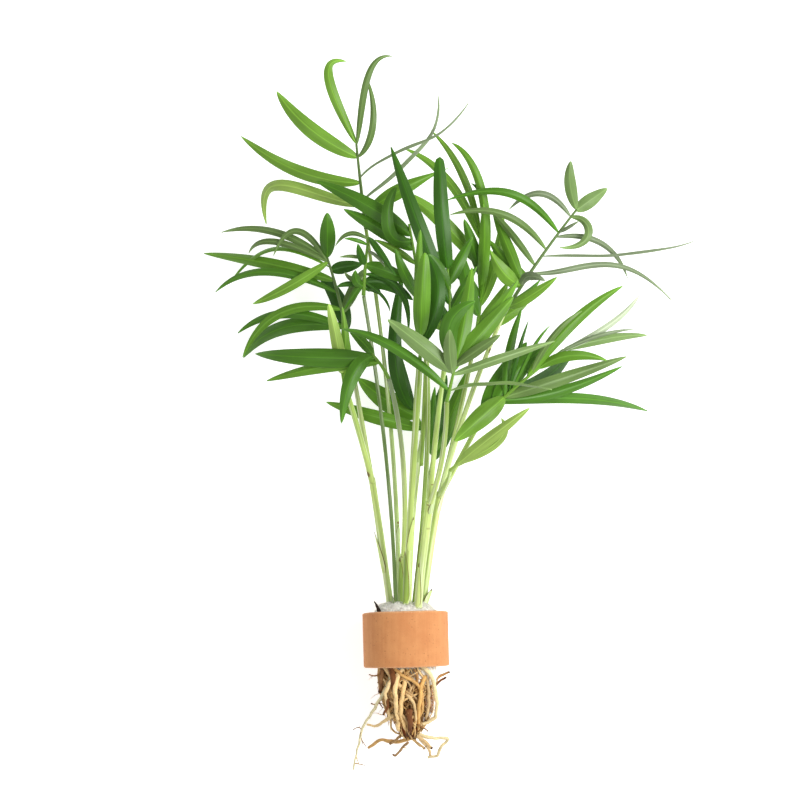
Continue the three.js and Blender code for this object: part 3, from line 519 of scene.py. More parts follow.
def ripple(points: Array, pitch: float, seed: int) -> Array:
    """Gives smooth noise of about -1 to 1: sine waves of about that pitch in seeded directions.

    Args:
        points: Where the noise is read.
        pitch: How far apart its waves lie.
        seed: What its directions are drawn from.

    Returns:
        The noise at each point.
    """
    waves, coarse, fine, most = 12, 0.6, 1.7, 4.0
    rng = np.random.default_rng(seed)
    directions = unit(rng.normal(size=(waves, 3))) * rng.uniform(coarse, fine, (waves, 1)) * math.tau / pitch
    return np.sin(points @ directions.T + rng.uniform(0, math.tau, waves)).sum(axis=-1) / most


@dataclass(frozen=True)
class Curve:
    """A Bezier curve over three or four knots, in millimetres."""

    knots: Array

    @classmethod
    def of(cls, *knots: Sequence[float]) -> Curve:
        """Makes a curve from its knots."""
        return cls(np.array(knots, float))

    def at(self, share: Array) -> Array:
        """Gives the points at shares of the way: knots weighted by Bernstein's polynomials.

        Args:
            share: Shares of the way along the curve.

        Returns:
            The points there, one a row.
        """
        order = len(self.knots) - 1
        weights = [math.comb(order, k) * share**k * (1 - share) ** (order - k) for k in range(order + 1)]
        return np.stack(weights, axis=-1) @ self.knots

    def along(self, share: Array) -> Array:
        """Gives the unit tangents at shares of the way, from the curve of the knots' differences."""
        return unit(Curve(np.diff(self.knots, axis=0)).at(share))

    def length(self) -> float:
        """Measures the curve over 200 chords."""
        return float(np.linalg.norm(np.diff(self.at(np.linspace(0, 1, 201)), axis=0), axis=1).sum())

    def axes(self, share: Array, roll: Array | float = 0.0) -> tuple[Array, Array]:
        """Gives the directions across and out of a blade that lies level but for its roll.

        Args:
            share: Shares of the way along the curve.
            roll: The turn about the curve, in degrees.

        Returns:
            The unit vectors across the blade and out of its upper face.
        """
        along = self.along(share)
        flat = unit(np.cross(along, UP))
        out = np.cross(flat, along)
        turn = np.radians(roll) * np.ones(len(share))
        cosine, sine = np.cos(turn)[:, None], np.sin(turn)[:, None]
        return flat * cosine - out * sine, out * cosine + flat * sine


def tube(path: Array, across: Array, out: Array, wide: Array, high: Array) -> Array:
    """Carries a ring of offsets along a path: point = path + wide * across + high * out.

    Args:
        path: The path's points, one a row.
        across: The direction across the path at each row.
        out: The direction out of the path at each row.
        wide: Offsets across, in rows along the path and columns around it.
        high: Offsets outwards, laid out as wide.

    Returns:
        The grid of points, with shape rows by columns by 3.
    """
    return path[:, None] + wide[..., None] * across[:, None] + high[..., None] * out[:, None]


def strand(path: Array, radius: Array, sides: int) -> Array:
    """Makes a round tube grid about a freely bent path: each ring is a circle across the path.

    Args:
        path: The points it runs through.
        radius: Its radius at each of them.
        sides: How many points each ring has.

    Returns:
        The grid of points.
    """
    along = unit(np.gradient(path, axis=0))
    level, steep = np.array([0.31, 0.17, 0.93]), np.array([0.9, 0.3, 0.2])  # what such paths never follow
    across = unit(np.cross(along, level if abs(along[:, 2].mean()) < 0.7 else steep))
    out = np.cross(across, along)
    angle = turns(sides)
    return tube(path, across, out, radius[:, None] * np.cos(angle), radius[:, None] * np.sin(angle))


def through(knots: Array, steps: int) -> Array:
    """Runs a smooth line through knots, each stretch a cubic whose ends follow the neighbours.

    Args:
        knots: The points that the line passes through.
        steps: How many points each stretch gets.

    Returns:
        The line's points, from the first knot to the last.
    """
    slopes = np.gradient(knots, axis=0)
    share = np.linspace(0, 1, steps, endpoint=False)[:, None]
    rise, fall = 3 * share**2 - 2 * share**3, 1 - 3 * share**2 + 2 * share**3
    lead, trail = share * (1 - share) ** 2, -(share**2) * (1 - share)
    parts = [
        fall * a + rise * b + lead * go + trail * come
        for a, b, go, come in zip(knots, knots[1:], slopes, slopes[1:])
    ]
    return np.concatenate([*parts, knots[-1:]])


@dataclass(frozen=True)
class Bench:
    """Where the plant is put together, and the finishes that its pieces are dressed in.

    The tables' origin lies under the clay ring's centre, on the floor; the ring's axis is level.
    """

    x: float
    y: float
    axis: float  # the ring's axis above the floor
    finishes: Mapping[str, Material]

    @classmethod
    def at_ring(cls, finishes: Mapping[str, Material]) -> Bench:
        """Finds the ring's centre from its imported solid."""
        low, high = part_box("clay_ring")
        return cls((low.x + high.x) / 2, (low.y + high.y) / 2, (low.z + high.z) / 2, finishes)

    def place(self, points: Array) -> Array:
        """Turns the tables' millimetres into the frame's metres."""
        return points * MM + np.array([self.x, self.y, 0.0])

    def seat(self, points: Array) -> Array:
        """Turns points about the ring's centre in the plan, and lifts them to its axis.

        Args:
            points: Points about the ring's centre, in millimetres.

        Returns:
            The points in the tables' millimetres.
        """
        angle = math.radians(RING_TURN)
        x, y, z = np.moveaxis(points, -1, 0)
        turned = (x * math.cos(angle) - y * math.sin(angle), x * math.sin(angle) + y * math.cos(angle), z)
        return np.stack(turned, axis=-1) + np.array([0, 0, self.axis / MM])


LAYERS = {  # what each layer holds, and the name of its values
    "grain": ("FLOAT_VECTOR", "vector"),
    "tone": ("FLOAT_COLOR", "color"),
    "age": ("FLOAT", "value"),
}


class Surface:
    """Closed surfaces gathered for one piece, with what its material reads at each point.

    grain follows the surface in millimetres, tone is the base colour with the blade's side in its
    alpha (0 upper, 1 under), and age runs from 0, fresh, to 1, dead and brown.
    """

    def __init__(self) -> None:
        """Starts an empty surface."""
        self.stores: dict[str, list[Array]] = {name: [] for name in ("points", *LAYERS)}
        self.quads: list[Array] = []
        self.fans = [np.zeros((0, 3), int)]
        self.count = 0

    def add(
        self, points: Array, grain: Array, tone: Array, age: Array | float = 0.0, ends: bool = True
    ) -> None:
        """Adds a grid that closes round its columns, and either ends in fans or joins its rows.

        Args:
            points: The grid, in rows along the shape and columns around it.
            grain: The grain vectors, laid out as points.
            tone: The colour and side of each point, or one for all.
            age: The age of each point, or one for all.
            ends: Whether a fan closes each end; otherwise the last row joins the first.
        """
        rows, ring = points.shape[:2]
        column = np.arange(ring)
        after = (column + 1) % ring
        row = np.arange(rows - 1 if ends else rows)[:, None] * ring
        above = (row + ring) % (rows * ring)
        quads = np.stack([row + column, above + column, above + after, row + after], axis=-1)
        self.quads.append(quads.reshape(-1, 4) + self.count)
        tones = np.broadcast_to(tone, (rows, ring, 4))
        ages = np.broadcast_to(np.asarray(age, float), (rows, ring))[..., None]
        for store, values in zip(self.stores.values(), (points, grain, tones, ages)):
            flat = values.reshape(rows * ring, -1)
            caps = np.stack([values[0].mean(axis=0), values[-1].mean(axis=0)])
            store.append(np.concatenate([flat, caps]) if ends else flat)
        if ends:
            foot, last = rows * ring, (rows - 1) * ring
            fans = [joined(foot, column, after), joined(foot + 1, last + after, last + column)]
            self.fans.append(np.concatenate(fans) + self.count)
        self.count += rows * ring + (2 if ends else 0)

    def mesh(self, name: str, bench: Bench) -> bpy.types.Mesh:
        """Puts the gathered grids into one mesh, placed in the frame.

        Args:
            name: The mesh's name.
            bench: Where it is placed.

        Returns:
            The mesh, with its layers.
        """
        quads, fans = np.concatenate(self.quads), np.concatenate(self.fans)
        corners = np.concatenate([quads.ravel(), fans.ravel()])
        starts = np.concatenate([np.arange(len(quads)) * 4, len(quads) * 4 + np.arange(len(fans)) * 3])
        mesh = bpy.data.meshes.new(name)
        mesh.vertices.add(self.count)
        mesh.loops.add(len(corners))
        mesh.polygons.add(len(starts))
        mesh.vertices.foreach_set("co", bench.place(np.concatenate(self.stores["points"])).ravel())
        mesh.loops.foreach_set("vertex_index", corners.astype(np.int32))
        mesh.polygons.foreach_set("loop_start", starts.astype(np.int32))
        for layer, (kind, item) in LAYERS.items():
            data = mesh.attributes.new(layer, kind, "POINT").data
            data.foreach_set(item, np.concatenate(self.stores[layer]).astype(np.float32).ravel())
        mesh.update(calc_edges=True)
        mesh.shade_smooth()
        return mesh

    def piece(self, name: str, slot: str, bench: Bench, *nodes: str) -> None:
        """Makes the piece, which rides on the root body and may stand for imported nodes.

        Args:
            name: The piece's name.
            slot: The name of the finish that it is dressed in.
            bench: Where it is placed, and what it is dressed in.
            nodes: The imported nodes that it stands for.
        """
        made = bpy.data.objects.new(name, self.mesh(name, bench))
        made.data.materials.append(bench.finishes[slot])
        bpy.context.scene.collection.objects.link(made)
        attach(made, "root")
        if nodes:
            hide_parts(*nodes)
        log.info("%s: %d faces, for %s", name, len(made.data.polygons), ", ".join(nodes) or "no node")


def coloured(tone: Tone | Array, side: Array | float = 0.0) -> Array:
    """Joins base colours and the blade's side into the four numbers that the tone layer holds."""
    colour = np.asarray(tone.value if isinstance(tone, Tone) else tone)
    return joined(*np.moveaxis(colour, -1, 0), np.asarray(side, float))


# ---- materials --------------------------------------------------------------------------------


class Signal:
    """A shader's number, on which Python's operators add Math nodes."""

    def __init__(self, graph: Graph, socket: Socket) -> None:
        """Wraps one output socket of a graph."""
        self.graph = graph
        self.socket = socket

    def _math(self, operation: str, *values: Signal | float) -> Signal:
        """Adds one Math node over the values."""
        node = self.graph.add("ShaderNodeMath", {"operation": operation}, dict(enumerate(values)))
        return Signal(self.graph, node.outputs[0])

    def __add__(self, other: Signal | float) -> Signal:
        """Adds a value."""
        return self._math("ADD", self, other)

    __radd__ = __add__

    def __sub__(self, other: Signal | float) -> Signal:
        """Takes a value away."""
        return self._math("SUBTRACT", self, other)

    def __rsub__(self, other: Signal | float) -> Signal:
        """Takes this away from a value."""
        return self._math("SUBTRACT", other, self)

    def __mul__(self, other: Signal | float) -> Signal:
        """Multiplies by a value."""
        return self._math("MULTIPLY", self, other)

    __rmul__ = __mul__

    def __abs__(self) -> Signal:
        """Drops the sign."""
        return self._math("ABSOLUTE", self)

    def rise(self, low: float, high: float) -> Signal:
        """Runs from 0 at low to 1 at high with level ends, or down where high is below low.

        Args:
            low: Where it begins to rise.
            high: Where it reaches 1.

        Returns:
            The new signal.
        """
        settings = {"interpolation_type": "SMOOTHSTEP"}
        node = self.graph.add("ShaderNodeMapRange", settings, {0: self, 1: low, 2: high})
        return Signal(self.graph, node.outputs[0])


class Graph:
    """One material's node tree, built by expressions."""

    def __init__(self, name: str) -> None:
        """Starts an empty material.

        Args:
            name: The material's name.
        """
        self.material = bpy.data.materials.new(name)
        self.material.use_nodes = True
        self.tree = self.material.node_tree
        self.tree.nodes.clear()

    def add(
        self, kind: str, settings: Mapping[str, object] | None = None, sockets: Mapping | None = None
    ) -> bpy.types.Node:
        """Adds a node of any type.

        Args:
            kind: The node's type name.
            settings: Its settings, made first.
            sockets: Values, or links from signals and sockets, by the input's name or number.

        Returns:
            The new node.
        """
        node = self.tree.nodes.new(kind)
        for key, value in (settings or {}).items():
            setattr(node, key, value)
        for key, value in (sockets or {}).items():
            value = value.socket if isinstance(value, Signal) else value
            if isinstance(value, Socket):
                self.tree.links.new(value, node.inputs[key])
            else:
                node.inputs[key].default_value = value
        return node

    def layer(self, name: str) -> bpy.types.Node:
        """Reads one of the mesh's own attributes."""
        return self.add("ShaderNodeAttribute", {"attribute_name": name})

    def number(self, name: str) -> Signal:
        """Reads a number attribute."""
        return Signal(self, self.layer(name).outputs["Fac"])

    def place(self) -> Socket:
        """Gives where each point of the object lies."""
        return self.add("ShaderNodeTexCoord").outputs["Object"]

    def parts(self, vector: Socket) -> tuple[Signal, ...]:
        """Splits a vector into its three numbers."""
        node = self.add("ShaderNodeSeparateXYZ", None, {0: vector})
        return tuple(Signal(self, socket) for socket in node.outputs)

    def vector(self, *values: Signal | float) -> Socket:
        """Joins three numbers into a vector."""
        return self.add("ShaderNodeCombineXYZ", None, dict(enumerate(values))).outputs[0]

    def noise(self, vector: Socket, scale: float = 1.0, detail: float = 2.0, rough: float = 0.5) -> Signal:
        """Gives noise of about 0.25 to 0.75 at a vector."""
        sockets = {"Vector": vector, "Scale": scale, "Detail": detail, "Roughness": rough}
        return Signal(self, self.add("ShaderNodeTexNoise", None, sockets).outputs[0])

    def mix(self, share: Signal | float, first: Socket | Colour, second: Socket | Colour) -> Socket:
        """Mixes two colours, each a socket or three numbers.

        Args:
            share: How much of the second colour shows.
            first: The colour at 0.
            second: The colour at 1.

        Returns:
            The mixed colour.
        """
        ends = [(*c, 1.0) if isinstance(c, tuple) else c for c in (first, second)]
        sockets = {0: share, 6: ends[0], 7: ends[1]}  # the factor, and the node's two colours
        return self.add("ShaderNodeMix", {"data_type": "RGBA"}, sockets).outputs[2]

    def scaled(self, colour: Socket, by: Signal | float) -> Socket:
        """Makes a colour lighter or darker by a factor."""
        return self.add("ShaderNodeVectorMath", {"operation": "SCALE"}, {0: colour, "Scale": by}).outputs[0]

    def bump(self, height: Signal, strength: float, reach: float = 0.0002) -> Socket:
        """Turns a height of 0 to 1 into a normal, with reach in metres."""
        sockets = {"Strength": strength, "Distance": reach, "Height": height}
        return self.add("ShaderNodeBump", None, sockets).outputs[0]

    def finish(
        self, colour: Socket, roughness: Signal | float, normal: Socket | None, **fixed: object
    ) -> Material:
        """Ends the tree in one Principled shader.

        Args:
            colour: The base colour.
            roughness: The roughness.
            normal: The bumped normal, or None where the surface is smooth.
            fixed: What is the same all over, by socket name with _ for each space.

        Returns:
            The material.
        """
        sockets = {name.replace("_", " "): value for name, value in fixed.items()}
        sockets.update({"Base Color": colour, "Roughness": roughness})
        if normal is not None:
            sockets["Normal"] = normal
        shader = self.add("ShaderNodeBsdfPrincipled", None, sockets)
        self.add("ShaderNodeOutputMaterial", None, {0: shader.outputs[0]})
        return self.material


@dataclass(frozen=True)
class LeafFinish:
    """A satin leaf: fine veins along the blade, a pale midrib, soft blotches and a duller underside."""

    veins: Plan = (2.0, 0.035)  # over a millimetre, across and along the blade
    blotches: Plan = (0.12, 0.055)
    apart: float = 3.1  # how far one blade's blotches lie from the next one's
    streak: float = 0.5  # how far the veins change the colour
    mottle: float = 0.7  # how far the blotches do
    midrib: Plan = (0.3, 0.09)  # millimetres from its middle, where it ends and is at its full
    rib_light: float = 1.9
    rib_shows: float = 0.45
    under: Colour = linear(150, 178, 122)
    under_shows: float = 0.4
    dead: Colour = linear(150, 112, 60)
    dying: Plan = (0.45, 0.8)  # ages at which a blade begins and ends to turn brown
    roughness: float = 0.42
    vein_rough: float = 0.2
    under_rough: float = 0.14
    gloss: float = 0.28  # how much light its skin throws back
    relief: Plan = (0.6, 0.3)  # heights of the veins and of the midrib's groove
    relief_shows: float = 0.7
    relief_reach: float = 0.00012  # metres

    def material(self) -> Material:
        """Builds the material.

        Colour = tone * (veins * streak + blotches), lighter on the midrib, greyer on the
        underside and brown where the blade is old.

        Returns:
            The material.
        """
        g = Graph("leaf")
        across, blade, along = g.parts(g.layer("grain").outputs["Vector"])
        tone = g.layer("tone")
        side = Signal(g, tone.outputs["Alpha"])
        fine, long = self.veins
        veins = g.noise(g.vector(across * fine, blade, along * long), rough=0.6)
        fine, long = self.blotches
        blotch = g.noise(g.vector(across * fine, blade * self.apart, along * long))
        shade = 1.0 + (veins - 0.5) * self.streak + (blotch - 0.5) * self.mottle
        colour = g.scaled(tone.outputs["Color"], shade)
        rib = abs(across).rise(*self.midrib) * (1.0 - side)
        colour = g.mix(rib * self.rib_shows, colour, g.scaled(tone.outputs["Color"], self.rib_light))
        colour = g.mix(side * self.under_shows, colour, self.under)
        age = g.number("age") + (blotch - 0.5) * 0.3
        colour = g.mix(age.rise(*self.dying), colour, self.dead)
        rough = self.roughness + (veins - 0.5) * self.vein_rough + side * self.under_rough
        height = veins * self.relief[0] + (1.0 - rib) * self.relief[1]
        normal = g.bump(height, self.relief_shows, self.relief_reach)
        return g.finish(colour, rough, normal, Specular_IOR_Level=self.gloss)


@dataclass(frozen=True)
class StalkFinish:
    """A juicy stalk: fine lengthwise streaks, pale patches, and dry brown marks where it is old."""

    glow: float = 1.22
    streaks: Plan = (4.2, 0.045)  # round the stalk, and over a millimetre along it
    patches: Plan = (0.7, 0.09)
    bands: Plan = (1.5, 0.022)
    streak: float = 0.8  # how far the streaks change the colour
    patch: float = 0.5  # how far the patches do
    # milky bands: partly pale streaks, partly painted highlights; olive bands: partly darker streaks, partly
    # painted shade
    milky: Colour = linear(238, 242, 214)
    milky_shows: float = 0.6
    olive: Colour = linear(112, 134, 52)
    olive_shows: float = 0.42
    dead: Colour = linear(126, 112, 60)
    dying: Plan = (0.3, 0.55)  # ages at which it begins and ends to turn tan
    burnt: Colour = linear(66, 54, 26)
    burning: Plan = (0.65, 1.0)
    roughness: float = 0.36
    dry_rough: float = 0.35
    streak_rough: float = 0.12
    ior: float = 1.42

    def drawn(
        self, g: Graph, grain: Sequence[Signal], size: Plan, detail: float = 2.0, rough: float = 0.5
    ) -> Signal:
        """Gives noise that is drawn out along the stalk.

        Args:
            g: The material's graph.
            grain: The cosine and sine of the angle round the stalk, and the way along it.
            size: How fine the noise is round the stalk and along it.
            detail: How many finer noises are added.
            rough: How strong those are.

        Returns:
            The noise.
        """
        cosine, sine, along = grain
        vector = g.vector(cosine * size[0], sine * size[0], along * size[1])
        return g.noise(vector, detail=detail, rough=rough)

    def material(self) -> Material:
        """Builds the material.

        Colour = tone * glow * streaks * patches, milky and olive in long bands, then tan and at last
        dark brown as age rises. The milky bands are partly the stalk's own pale streaks and partly painted
        highlights; the olive bands are partly its own darker streaks and partly painted shade.

        Returns:
            The material.
        """
        g = Graph("stalk")
        grain = g.parts(g.layer("grain").outputs["Vector"])
        streaks = self.drawn(g, grain, self.streaks, 3.0, 0.65)
        patches = self.drawn(g, grain, self.patches)
        bands = self.drawn(g, grain, self.bands)
        shade = 1.0 + (streaks - 0.5) * self.streak + (patches - 0.5) * self.patch
        colour = g.scaled(g.layer("tone").outputs["Color"], shade * self.glow)
        # painted highlights (milky) and painted shade (olive) in random long bands, over the stalk's own
        # streaks
        colour = g.mix(bands.rise(0.5, 0.72) * self.milky_shows, colour, self.milky)
        colour = g.mix((1.0 - bands).rise(0.52, 0.72) * self.olive_shows, colour, self.olive)
        worn = g.number("age") + (streaks - 0.5) * 0.35
        colour = g.mix(worn.rise(*self.dying), colour, self.dead)
        colour = g.mix(worn.rise(*self.burning), colour, self.burnt)
        dry = worn.rise(0.3, 0.6) * self.dry_rough
        rough = self.roughness + dry + (streaks - 0.5) * self.streak_rough
        return g.finish(colour, rough, g.bump(streaks, 0.6), IOR=self.ior)


@dataclass(frozen=True)
class RootFinish:
    """A bare root: tan bark with darker patches, fine wrinkles and specks of old soil."""

    patches: float = 420.0  # over a metre
    specks: float = 1500.0
    patch: float = 0.9  # how far the patches change the colour
    speck: float = 0.5  # how far the specks do
    soil: Colour = linear(70, 38, 18)
    soiling: Plan = (0.35, 0.95)  # ages at which it begins and ends to look soiled
    roughness: float = 0.7
    patch_rough: float = 0.3
    relief: Plan = (0.6, 0.4)  # heights of the patches and of the specks
    gloss: float = 0.15

    def material(self) -> Material:
        """Builds the material: tone * patches, darkened to soil colour as age and patches rise.

        Returns:
            The material.
        """
        g = Graph("root")
        place = g.place()
        patches = g.noise(place, self.patches, 3.0, 0.6)
        specks = g.noise(place, self.specks, rough=0.6)
        shade = 1.0 + (patches - 0.5) * self.patch + (specks - 0.5) * self.speck
        colour = g.scaled(g.layer("tone").outputs["Color"], shade)
        dirt = g.number("age") + (patches - 0.5) * self.patch
        colour = g.mix(dirt.rise(*self.soiling), colour, self.soil)
        rough = self.roughness + (patches - 0.5) * self.patch_rough
        normal = g.bump(patches * self.relief[0] + specks * self.relief[1], 0.8)
        return g.finish(colour, rough, normal, Specular_IOR_Level=self.gloss)


@dataclass(frozen=True)
class WoolFinish:
    """Mineral wool: matte off-white fibre with a few dull patches, stained tan among the roots."""

    patches: float = 220.0  # over a metre
    fibres: float = 2400.0
    clean: Colour = linear(240, 238, 230)
    dull: Colour = linear(204, 198, 178)
    dull_shows: float = 0.6
    stained: Colour = linear(176, 122, 72)
    staining: Plan = (0.25, 0.8)  # ages at which it begins and ends to look stained
    felt: Plan = (0.94, 0.12)  # the least light between the fibres, and what they add
    roughness: float = 0.9
    felt_rough: float = 0.08
    sheen: Plan = (0.25, 0.6)  # weight and roughness

    def material(self) -> Material:
        """Builds the material: clean wool mixed with dull patches, over a fine felted bump.

        Returns:
            The material.
        """
        g = Graph("wool")
        place = g.place()
        patches = g.noise(place, self.patches, 3.0, 0.6)
        felt = g.noise(place, self.fibres, 3.0, 0.7)
        colour = g.mix(patches.rise(0.5, 0.75) * self.dull_shows, self.clean, self.dull)
        stain = g.number("age") + (patches - 0.5) * 0.8
        colour = g.mix(stain.rise(*self.staining), colour, self.stained)
        colour = g.scaled(colour, self.felt[0] + felt * self.felt[1])
        rough = self.roughness + felt * self.felt_rough
        weight, spread = self.sheen
        return g.finish(colour, rough, g.bump(felt, 0.6), Sheen_Weight=weight, Sheen_Roughness=spread)


@dataclass(frozen=True)
class ClayFinish:
    """Bare fired clay: soft streaks along the ring's axis, dark specks, and paler rubbed rims."""

    streaks: Plan = (700.0, 40.0)  # over a metre, across and along the axis
    clouds: float = 130.0
    specks: float = 1300.0
    grains: float = 2600.0
    clay: Colour = linear(205, 141, 87)
    dark: Colour = linear(194, 127, 76)
    shares: Plan = (0.35, 0.65)  # what the streaks and the clouds count for
    speckled: Colour = linear(150, 92, 56)
    speckled_shows: float = 0.6
    rubbed: Colour = linear(222, 174, 132)
    rubbing: Plan = (0.35, 0.9)  # ages at which a rim begins and ends to look rubbed
    rubbed_shows: float = 0.6
    grit: Plan = (0.9, 0.2)  # the least light between the grains, and what they add
    roughness: float = 0.78
    grit_rough: float = 0.14
    relief: Point = (0.2, 0.35, 0.4)  # heights of streaks and grains, and depth of specks

    def material(self) -> Material:
        """Builds the material.

        Colour = clay and dark clay by streaks and clouds, then specks where fine noise peaks, and
        the rubbed colour where the age layer marks a rim.

        Returns:
            The material.
        """
        g = Graph("clay")
        place = g.place()
        x, y, z = g.parts(place)
        fine, long = self.streaks
        streaks = g.noise(g.vector(x * fine, y * long, z * fine))
        clouds = g.noise(place, self.clouds, 3.0, 0.55)
        grit = g.noise(place, self.grains, rough=0.6)
        mottle = (streaks * self.shares[0] + clouds * self.shares[1]).rise(0.32, 0.68)
        colour = g.mix(mottle, self.dark, self.clay)
        speck = g.noise(place, self.specks, 0.0).rise(0.76, 0.81)
        colour = g.mix(speck * self.speckled_shows, colour, self.speckled)
        rim = (g.number("age") + (grit - 0.5) * 0.8).rise(*self.rubbing)
        colour = g.mix(rim * self.rubbed_shows, colour, self.rubbed)
        colour = g.scaled(colour, self.grit[0] + grit * self.grit[1])
        height = streaks * self.relief[0] + grit * self.relief[1] + (1.0 - speck) * self.relief[2]
        return g.finish(colour, self.roughness + grit * self.grit_rough, g.bump(height, 0.5))


# ---- growth: the rule that keeps blades apart -------------------------------------------------


@dataclass(frozen=True)
class Rule:
    """The source's growing rule, in millimetres: blade sizes and the clearance it keeps."""

    clear: float = 1.75
    least_height: float = 0.4
    slack: float = 0.2  # by which a blade's middle may dip below the least height
    slim: float = 0.013  # a solid blade's thickness as a share of its length
    thinnest: float = 0.55
    edge: float = 0.6  # a blade's least half width, in halves of its thickness
    belly: float = 0.78  # below 1 puts a blade's widest place before its middle
    foot: float = 0.12  # least widths of both ends, as shares of the widest
    tip: float = 0.05
    arch: float = 0.1  # how high a blade bends, as a share of its reach
    gap: float = 0.3  # between a stalk's end and its rib
    lift: float = 2.5  # from one try to the next
    follow: float = 0.7  # how far a blade's tip rises and sinks with its bend
    tries: int = 26
    spacing: float = 1.2  # of the points that keep a blade's place
    rib: Plan = (1.7, 1.0)  # a rib's diameters at both ends

    def outline(self, share: Array, taper: float) -> Array:
        """Gives a leaflet's half width: sin(pi * s^belly)^taper, never thinner than its ends."""
        swell = np.maximum(np.sin(math.pi * share**self.belly), 0.0) ** taper
        return np.maximum(swell, np.where(share < 0.5, self.foot, self.tip))

    def half_width(self, leaflet: Leaflet, length: float) -> Callable[[Array], Array]:
        """Makes the function that gives the solid blade's half width along the way."""
        least = max(self.thinnest, length * self.slim) / 2 * self.edge
        return lambda share: np.maximum(self.outline(share, leaflet.taper) * leaflet.width / 2, least)

    def spread(self, curve: Curve, half: Callable[[Array], Array], roll: float = 0.0) -> Array:
        """Spreads points over a blade or limb: five across, at steps along it.

        Args:
            curve: The blade's or the limb's curve.
            half: Gives its half width at shares of the way.
            roll: Its turn about the curve, in degrees.

        Returns:
            The points, one a row.
        """
        steps = math.ceil(curve.length() / self.spacing)
        share = np.linspace(0, 1, steps + 1)
        across, _ = curve.axes(share, roll)
        offsets = half(share)[:, None] * np.array([-1, -0.5, 0, 0.5, 1])
        return (curve.at(share)[:, None] + offsets[..., None] * across[:, None]).reshape(-1, 3)


class Thicket:
    """The points of every limb and blade placed so far, each with its owner."""

    def __init__(self, rule: Rule) -> None:
        """Starts an empty thicket.

        Args:
            rule: The rule that gives the clearance.
        """
        self.rule = rule
        self.points = np.zeros((0, 3))
        self.owners = np.zeros(0, int)
        self.names: list[str] = []

    def claim(self, points: Array, owner: str) -> None:
        """Keeps points for their owner.

        Args:
            points: The points, one a row.
            owner: The stem or frond that they belong to.
        """
        if owner not in self.names:
            self.names.append(owner)
        self.points = np.concatenate([self.points, points])
        self.owners = np.append(self.owners, np.full(len(points), self.names.index(owner)))

    def claim_round(self, curve: Curve, thick: float, owner: str) -> None:
        """Keeps the space of a limb or a rib of one thickness for its owner."""
        self.claim(self.rule.spread(curve, lambda share: thick / 2 * np.ones(len(share))), owner)

    def free(self, points: Array, owner: str) -> bool:
        """Tells whether points keep the clearance from every other owner's.

        Args:
            points: The points, one a row.
            owner: The stem or frond that they belong to.

        Returns:
            Whether every point is clear.
        """
        mine = self.names.index(owner) if owner in self.names else -1
        low, high = points.min(axis=0) - self.rule.clear, points.max(axis=0) + self.rule.clear
        near = (self.owners != mine) & (self.points > low).all(axis=1) & (self.points < high).all(axis=1)
        others = self.points[near]
        if not len(others):
            return True
        return bool((np.linalg.norm(points[:, None] - others, axis=2) >= self.rule.clear).all())

    def grow(self, leaflet: Leaflet, foot: Array, owner: str) -> Curve | None:
        """Bends a leaflet up or down in steps until it is clear.

        Args:
            leaflet: The leaflet's row.
            foot: Where it leaves its rib.
            owner: The frond that it belongs to.

        Returns:
            Its curve, or None where no bend is clear.
        """
        rule = self.rule
        tip = np.array(leaflet.tip, float)
        reach = math.hypot(*(tip - foot)[:2])
        height = (foot[2] + tip[2]) / 2 + reach * rule.arch * 2
        for step in range(rule.tries):
            shift = math.ceil(step / 2) * rule.lift * (1 if step % 2 else -1)
            end = np.array([tip[0], tip[1], max(tip[2] + shift * rule.follow, rule.least_height)])
            bends = [[*plan, height + shift] for plan in (leaflet.over, leaflet.then) if plan]
            curve = Curve(np.stack([foot, *bends, end]))
            points = rule.spread(curve, rule.half_width(leaflet, curve.length()), leaflet.roll)
            if (points[:, 2] >= rule.least_height - rule.slack).all() and self.free(points, owner):
                self.claim(points, owner)
                return curve
        return None


# ---- the plant --------------------------------------------------------------------------------


